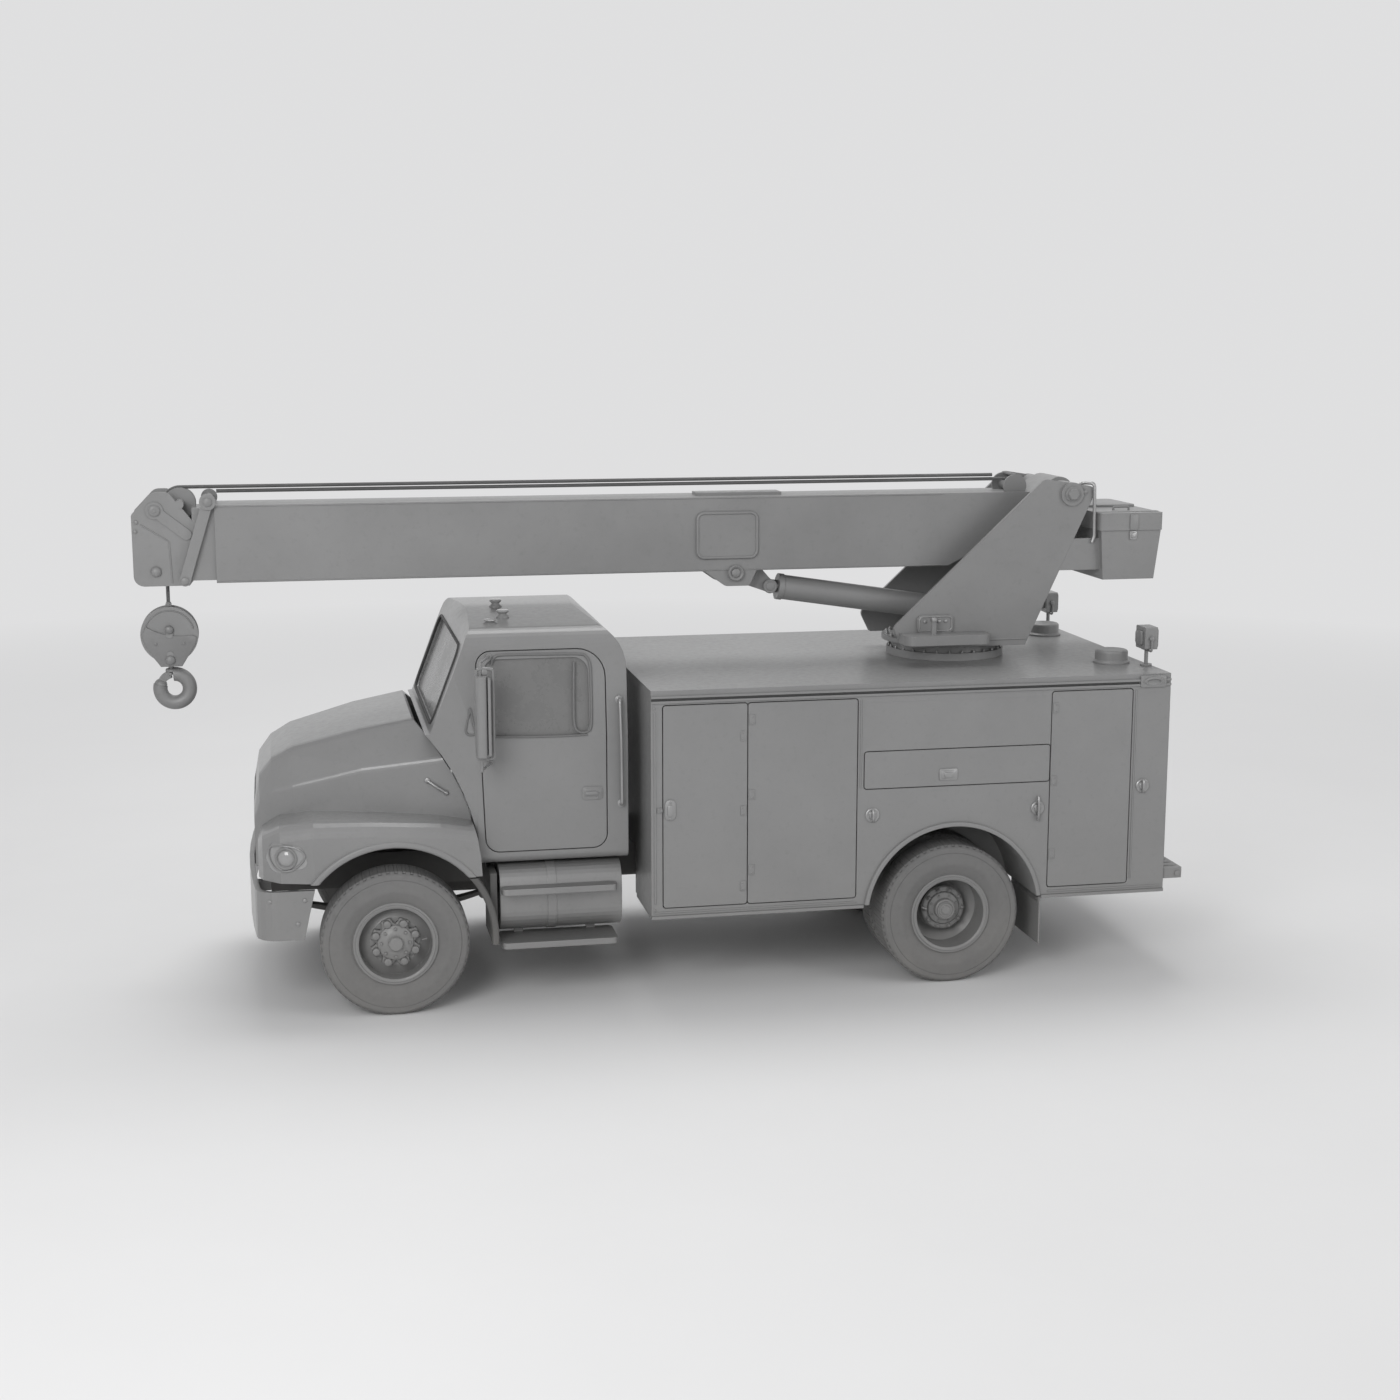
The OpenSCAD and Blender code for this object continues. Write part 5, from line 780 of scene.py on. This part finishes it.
screen = Piece()
edge = round_box((-0.80, 1.925), (0.80, 2.46), 0.09, 8)
border = []
for y, z in edge:
    for far in (0.0, 0.012, 0.024, 0.04, 0.06):
        try:
            p, n = touch("cab_shell", (4.4, y * (1 + far), z + (far if z > 2.2 else -far)), (-1, 0, 0))
        except ValueError:
            continue
        if p.x > 3.0:
            border.append(p + n * 0.002)
            break
if len(border) > 20:
    screen.tube(border, 0.011, 8, True)
screen.done("screen_trim", "chassis", "rubber")


# Boom and its head
for side, name in SIDES:
    plates = Piece()
    y = side * 0.21
    ring = round_box((1.190, 2.952), (1.625, 3.271), 0.048, 8)
    plates.tube([(x, y, z) for x, z in ring], 0.011, 10, True)
    plates.lathe([(0.034, 0), (0.058, 0), (0.058, 0.012), (0.050, 0.018), (0.042, 0.014), (0.034, 0.006)],
        (1.345, side * 0.212, 2.839), (0, side, 0), 40)
    plates.lathe([(0, 0), (0.032, 0), (0.032, 0.008), (0.026, 0.013), (0, 0.014)],
        (1.345, side * 0.213, 2.839), (0, side, 0), 28)
    plates.done(f"boom_cover_rim_{name}", "boom", "boom_paint")
    pin = Piece()
    pin.lathe([(0, 0), (0.052, 0), (0.052, 0.008), (0.044, 0.014), (0.034, 0.012), (0.031, 0.018),
        (0.022, 0.022), (0, 0.023)], (1.06, side * 0.0735, 2.72), (0, side, 0), 36)
    pin.done(f"lift_pin_{name}", "boom", "boom_paint")
    head = Piece()
    y = side * 0.181
    for x, z in ((5.504, 3.279), (5.512, 3.215)):
        head.stud((x - 0.006, y, z), (0, side, 0), 0.014, 0.010, 0.6, 18)
    head.lathe([(0, 0.022), (0.018, 0.020), (0.031, 0.012), (0.036, 0), (0, 0)], (5.38, side * 0.190, 2.94),
        (0, side, 0), 32)
    for line in ([(5.470, 3.262), (5.380, 3.205), (5.292, 3.150)],
            [(5.286, 3.142), (5.280, 3.00), (5.275, 2.862)]):
        head.tube([(x, y + side * 0.001, z) for x, z in line], 0.005, 8)
    head.lathe([(0, 0), (0.038, 0), (0.038, 0.010), (0.030, 0.016), (0.014, 0.016), (0.012, 0.022),
        (0, 0.022)], (5.375, side * 0.191, 3.355), (0, side, 0), 32)
    head.lathe([(0, 0), (0.030, 0), (0.030, 0.008), (0.024, 0.013), (0, 0.014)],
        (5.020, side * 0.238, 3.412), (0, side, 0), 28)
    head.lathe([(0, 0), (0.026, 0), (0.026, 0.008), (0.020, 0.012), (0, 0.013)],
        (5.190, side * 0.226, 2.877), (0, side, 0), 24)
    head.done(f"head_pins_{name}", "boom_tip", "boom_paint")
    seam = Piece()
    for z in (2.862, 3.378):
        seam.tube([(x, side * 0.2, z) for x in (-0.20, 1.10, 2.4, 3.7, 4.975)], 0.005, 6)
    seam.done(f"boom_seams_{name}", "boom", "boom_paint")


# Turret, console and toolbox
for side, name in SIDES:
    pivot = Piece()
    y = side * 0.470
    pivot.lathe([(0, 0), (0.056, 0), (0.056, 0.008), (0.050, 0.012), (0, 0.012)], (PIVOT_X, y, PIVOT_Z),
        (0, side, 0), 40)
    pivot.lathe([(0, 0.010), (0.046, 0.010), (0.046, 0.028), (0.038, 0.036), (0, 0.036)],
        (PIVOT_X, y, PIVOT_Z), (0, side, 0), 6)
    pivot.slab([(-1.110, 3.372), (-1.096, 3.360), (-1.205, 3.386), (-1.216, 3.400), (-1.205, 3.412),
        (-1.104, 3.400)][::-1], "y", side * 0.45, side * 0.464, 0.003)
    pivot.stud((-1.192, side * 0.463, 3.399), (0, side, 0), 0.012, 0.009)
    pivot.done(f"pivot_nut_{name}", "turret", "boom_paint")
    edge_plate = Piece()
    edge_plate.tube(smooth_line([(-0.775, side * 0.449, 2.335), (-0.30, side * 0.449, 2.335),
        (0.155, side * 0.449, 2.335)]), 0.007, 8)
    edge_plate.done(f"turret_weld_{name}", "turret", "boom_paint")

rod = Piece()
rod.tube(bent_line([(-1.15, 0.405, 3.440), (-1.19, 0.405, 3.462), (-1.262, 0.462, 3.462),
    (-1.268, 0.462, 3.30), (-1.272, 0.462, 3.07), (-1.255, 0.462, 3.03)], 0.03), 0.013, 12)
rod.stud((-1.15, 0.405, 3.434), "z", 0.016, 0.012)
rod.done("hanging_rod", "turret", "zinc")

bolts = Piece()
for i in range(24):
    a = 2 * math.pi * (i + 0.5) / 24
    at = (SLEW_X + 0.435 * math.cos(a), 0.435 * math.sin(a), 2.3224)
    if abs(at[1]) < 0.405:
        bolts.hexnut(at, "z", 0.014, 0.018)
bolts.done("table_bolts", "turret", "zinc")
ring_bolts = Piece()
for i in range(28):
    a = 2 * math.pi * i / 28
    ring_bolts.hexnut((SLEW_X + 0.415 * math.cos(a), 0.415 * math.sin(a), 2.236), "z", 0.009, 0.014)
ring_bolts.done("ring_bolts", "chassis", "zinc")

panel = Piece()
panel.tube([(x, 0.474, z) for x, z in round_box((-0.195, 2.415), (0.045, 2.518), 0.026, 6)], 0.005, 8, True)
for x in (-0.150, -0.100, 0.005):
    panel.stud((x, 0.472, 2.485), "y", 0.013, 0.012, 0.4, 18)
panel.lathe([(0, -0.006), (0.026, -0.006), (0.026, 0.012), (0.018, 0.020), (0, 0.020)],
    (-0.040, 0.545, 2.503), "z", 24)
panel.done("console_controls", "turret", "zinc")

catch = Piece()
z0, z1 = 3.060, 3.112
catch.slab(round_box((-1.585, z0 - 0.010), (-1.530, z1), 0.008), "y", 0.5, 0.510, 0.003)
catch.slab(round_box((-1.575, z0 + 0.004), (-1.540, z1 - 0.012), 0.008), "y", 0.509, 0.517, 0.003)
catch.done("toolbox_catch", "turret", "zinc")
lid = Piece()
lid.slab(round_box((-1.774, -0.49), (-1.312, 0.02), 0.03), "z", 3.2445, 3.262, 0.006, 3)
lid.slab(round_box((-1.590, 3.122), (-1.526, 3.236), 0.012), "y", 0.512, 0.521, 0.004)
for y in (-0.40, 0.40):
    lid.slab(round_box((-1.784, y - 0.03), (-1.300, y + 0.03), 0.010), "z", 3.2440, 3.249, 0.002)
lid.tube(bent_line([(-1.610, 0.28, 3.244), (-1.610, 0.28, 3.270), (-1.490, 0.28, 3.270),
    (-1.490, 0.28, 3.244)], 0.02), 0.008, 10)
lid.done("toolbox_lid_trim", "toolbox_lid", "boom_paint")


# Hook block and hook
CHEEK = ((0.152, 0.060), (0.105, 0.030), (0.050, 0.008), (-0.020, -0.006), (-0.090, -0.010),
    (-0.160, -0.006), (-0.186, -0.018), (-0.172, -0.070), (-0.078, -0.221), (0.066, -0.221),
    (0.168, -0.070), (0.188, 0.005))
block = Piece()
for side in (1, -1):
    y = side * 0.056
    cheek = [(BLOCK_X + x, BLOCK_Z + z) for x, z in CHEEK]
    block.slab(cheek, "y", y - side * 0.004, y + side * 0.010, 0.003, 2)
    turns = [math.pi * (0.08 + 0.84 * i / 30) for i in range(31)]
    ring = [(BLOCK_X + 0.168 * math.cos(a), y, BLOCK_Z + 0.168 * math.sin(a)) for a in turns]
    block.tube(ring, 0.005, 8)
    for z, r in ((2.522, 0.030), (2.310, 0.034)):
        block.lathe([(0, 0.024), (r * 0.62, 0.022), (r * 0.92, 0.014), (r, 0.0), (0, -0.002)],
            (BLOCK_X, side * 0.066, z), (0, side, 0), 32)
    for x in (5.225, 5.411):
        block.stud((x, y + side * 0.009, 2.425), (0, side, 0), 0.010, 0.007, 0.4, 18)
block.done("block_fittings", "hook_block", "forged_steel")
tongue = Piece()
tongue.lathe([(0.0202, 0), (0.040, 0), (0.040, 0.014), (0.034, 0.020), (0.0202, 0.020)], (BLOCK_X, 0, 2.222),
    "z", 32)
gate = arc_points((5.298, 2.102), 0.128, 0.52, 1.36, 12) + arc_points((5.298, 2.102), 0.078, 1.36, 0.52, 12)
tongue.slab(gate, "y", -0.026, 0.026, 0.010, 3)
tongue.stud((5.322, -0.034, 2.205), "y", 0.012, 0.068, 0.3)
tongue.done("hook_tongue", "hook", "forged_steel")


# Roof, back and underside
for side, name in SIDES:
    # Thin dark strip under the roof lip: a painted shadow where the lip overhangs the side, not a real seal or
    # gutter.
    strip = Piece()
    strip.box((-1.335, side * 1.2205, 2.1105), (2.148, side * 1.2245, 2.1275), 0.001)
    strip.done(f"lip_shadow_strip_{name}", "chassis", "rubber")

lamp_trim = Piece()
lamp_glass = Piece()
for y in (0.870, -1.100):
    z = 2.385
    rim = round_box((y - 0.070, z - 0.066), (y + 0.070, z + 0.066), 0.018)
    lamp_trim.tube([(-1.5845, yy, zz) for yy, zz in rim], 0.008, 8, True)
    yoke = ((y - 0.094, z), (y - 0.094, z - 0.092), (y + 0.094, z - 0.092), (y + 0.094, z))
    lamp_trim.tube(bent_line([(LAMP_POST_X, yy, zz) for yy, zz in yoke], 0.02), 0.008, 8)
    for k in (-1, 1):
        lamp_trim.stud((LAMP_POST_X, y + k * 0.082, z), (0, k, 0), 0.018, 0.020, 0.3)
    lamp_trim.slab(round_box((y - 0.052, z - 0.050), (y + 0.052, z + 0.050), 0.016), "x", -1.487, -1.468,
        0.006, 3)
    lamp_glass.slab(round_box((y - 0.064, z - 0.060), (y + 0.064, z + 0.060), 0.016), "x", -1.590, -1.582,
        0.003)
lamp_trim.done("work_lamp_trim", "chassis", "body_paint")
lamp_glass.done("work_lamp_glass", "chassis", "lamp_lens")

back = Piece()
tail = Piece()
for side in (1, -1):
    for z, r in ((0.98, 0.062), (1.13, 0.062), (1.28, 0.045)):
        back.lathe([(r * 0.9, 0), (r * 1.22, 0), (r * 1.22, 0.012), (r * 1.08, 0.018), (r * 0.9, 0.010)],
            (BACK_X, side * 1.02, z), (-1, 0, 0), 36)
        tail.lathe([(0, 0.020), (r * 0.5, 0.018), (r * 0.8, 0.012), (r * 0.92, 0.004), (0, 0.002)],
            (BACK_X, side * 1.02, z), (-1, 0, 0), 32)
    back.slab(round_box((side * 1.205 - 0.006, 0.66), (side * 1.205 + 0.006, 2.08), 0.005), "x", BACK_X,
        -1.580, 0.002)
    back.stud((-1.691, side * 1.2, 0.714), (0, side, 0), 0.022, 0.010, 0.4)
    for z in (0.70, 0.73):
        back.stud((-1.7304, side * 1.15, z + 0.002), (-1, 0, 0), 0.010, 0.006)
back.slab(round_box((0.56, 0.86), (0.86, 1.02), 0.012), "x", BACK_X, -1.580, 0.002)
back.slab(round_box((0.573, 0.873), (0.847, 1.007), 0.008), "x", -1.579, -1.583, 0.0015)
for y in (0.62, 0.80):
    back.stud((-1.582, y, 0.985), (-1, 0, 0), 0.008, 0.005)
for k in range(26):
    y = -1.12 + k * 0.0896
    back.slab(round_box((-1.712, y - 0.014), (-1.600, y + 0.014), 0.010), "z", 0.7535, 0.7575, 0.0015)
back.done("back_fittings", "chassis", "body_paint")
tail.done("tail_lamps", "chassis", "lamp_red")
handle = Piece()
handle.slab(round_box((0.300, 1.50), (0.400, 1.62), 0.02), "x", -1.595, -1.604, 0.003)
handle.tube(bent_line([(-1.600, 0.350, 1.525), (-1.640, 0.350, 1.525), (-1.640, 0.350, 1.595),
    (-1.600, 0.350, 1.595)], 0.015), 0.008, 10)
for z in (1.20, 1.56, 1.92):
    handle.slab(round_box((-0.420, z - 0.03), (-0.340, z + 0.03), 0.008), "x", -1.595, -1.600, 0.002)
    for y in (-0.40, -0.36):
        handle.stud((-1.599, y, z), (-1, 0, 0), 0.007, 0.004, steps=12)
handle.tube([(-1.5955, y, z) for y, z in round_box((-0.36, 1.13), (0.26, 1.99), 0.05)], 0.005, 8, True)
handle.done("back_door_fittings", "rear_door", "body_paint")
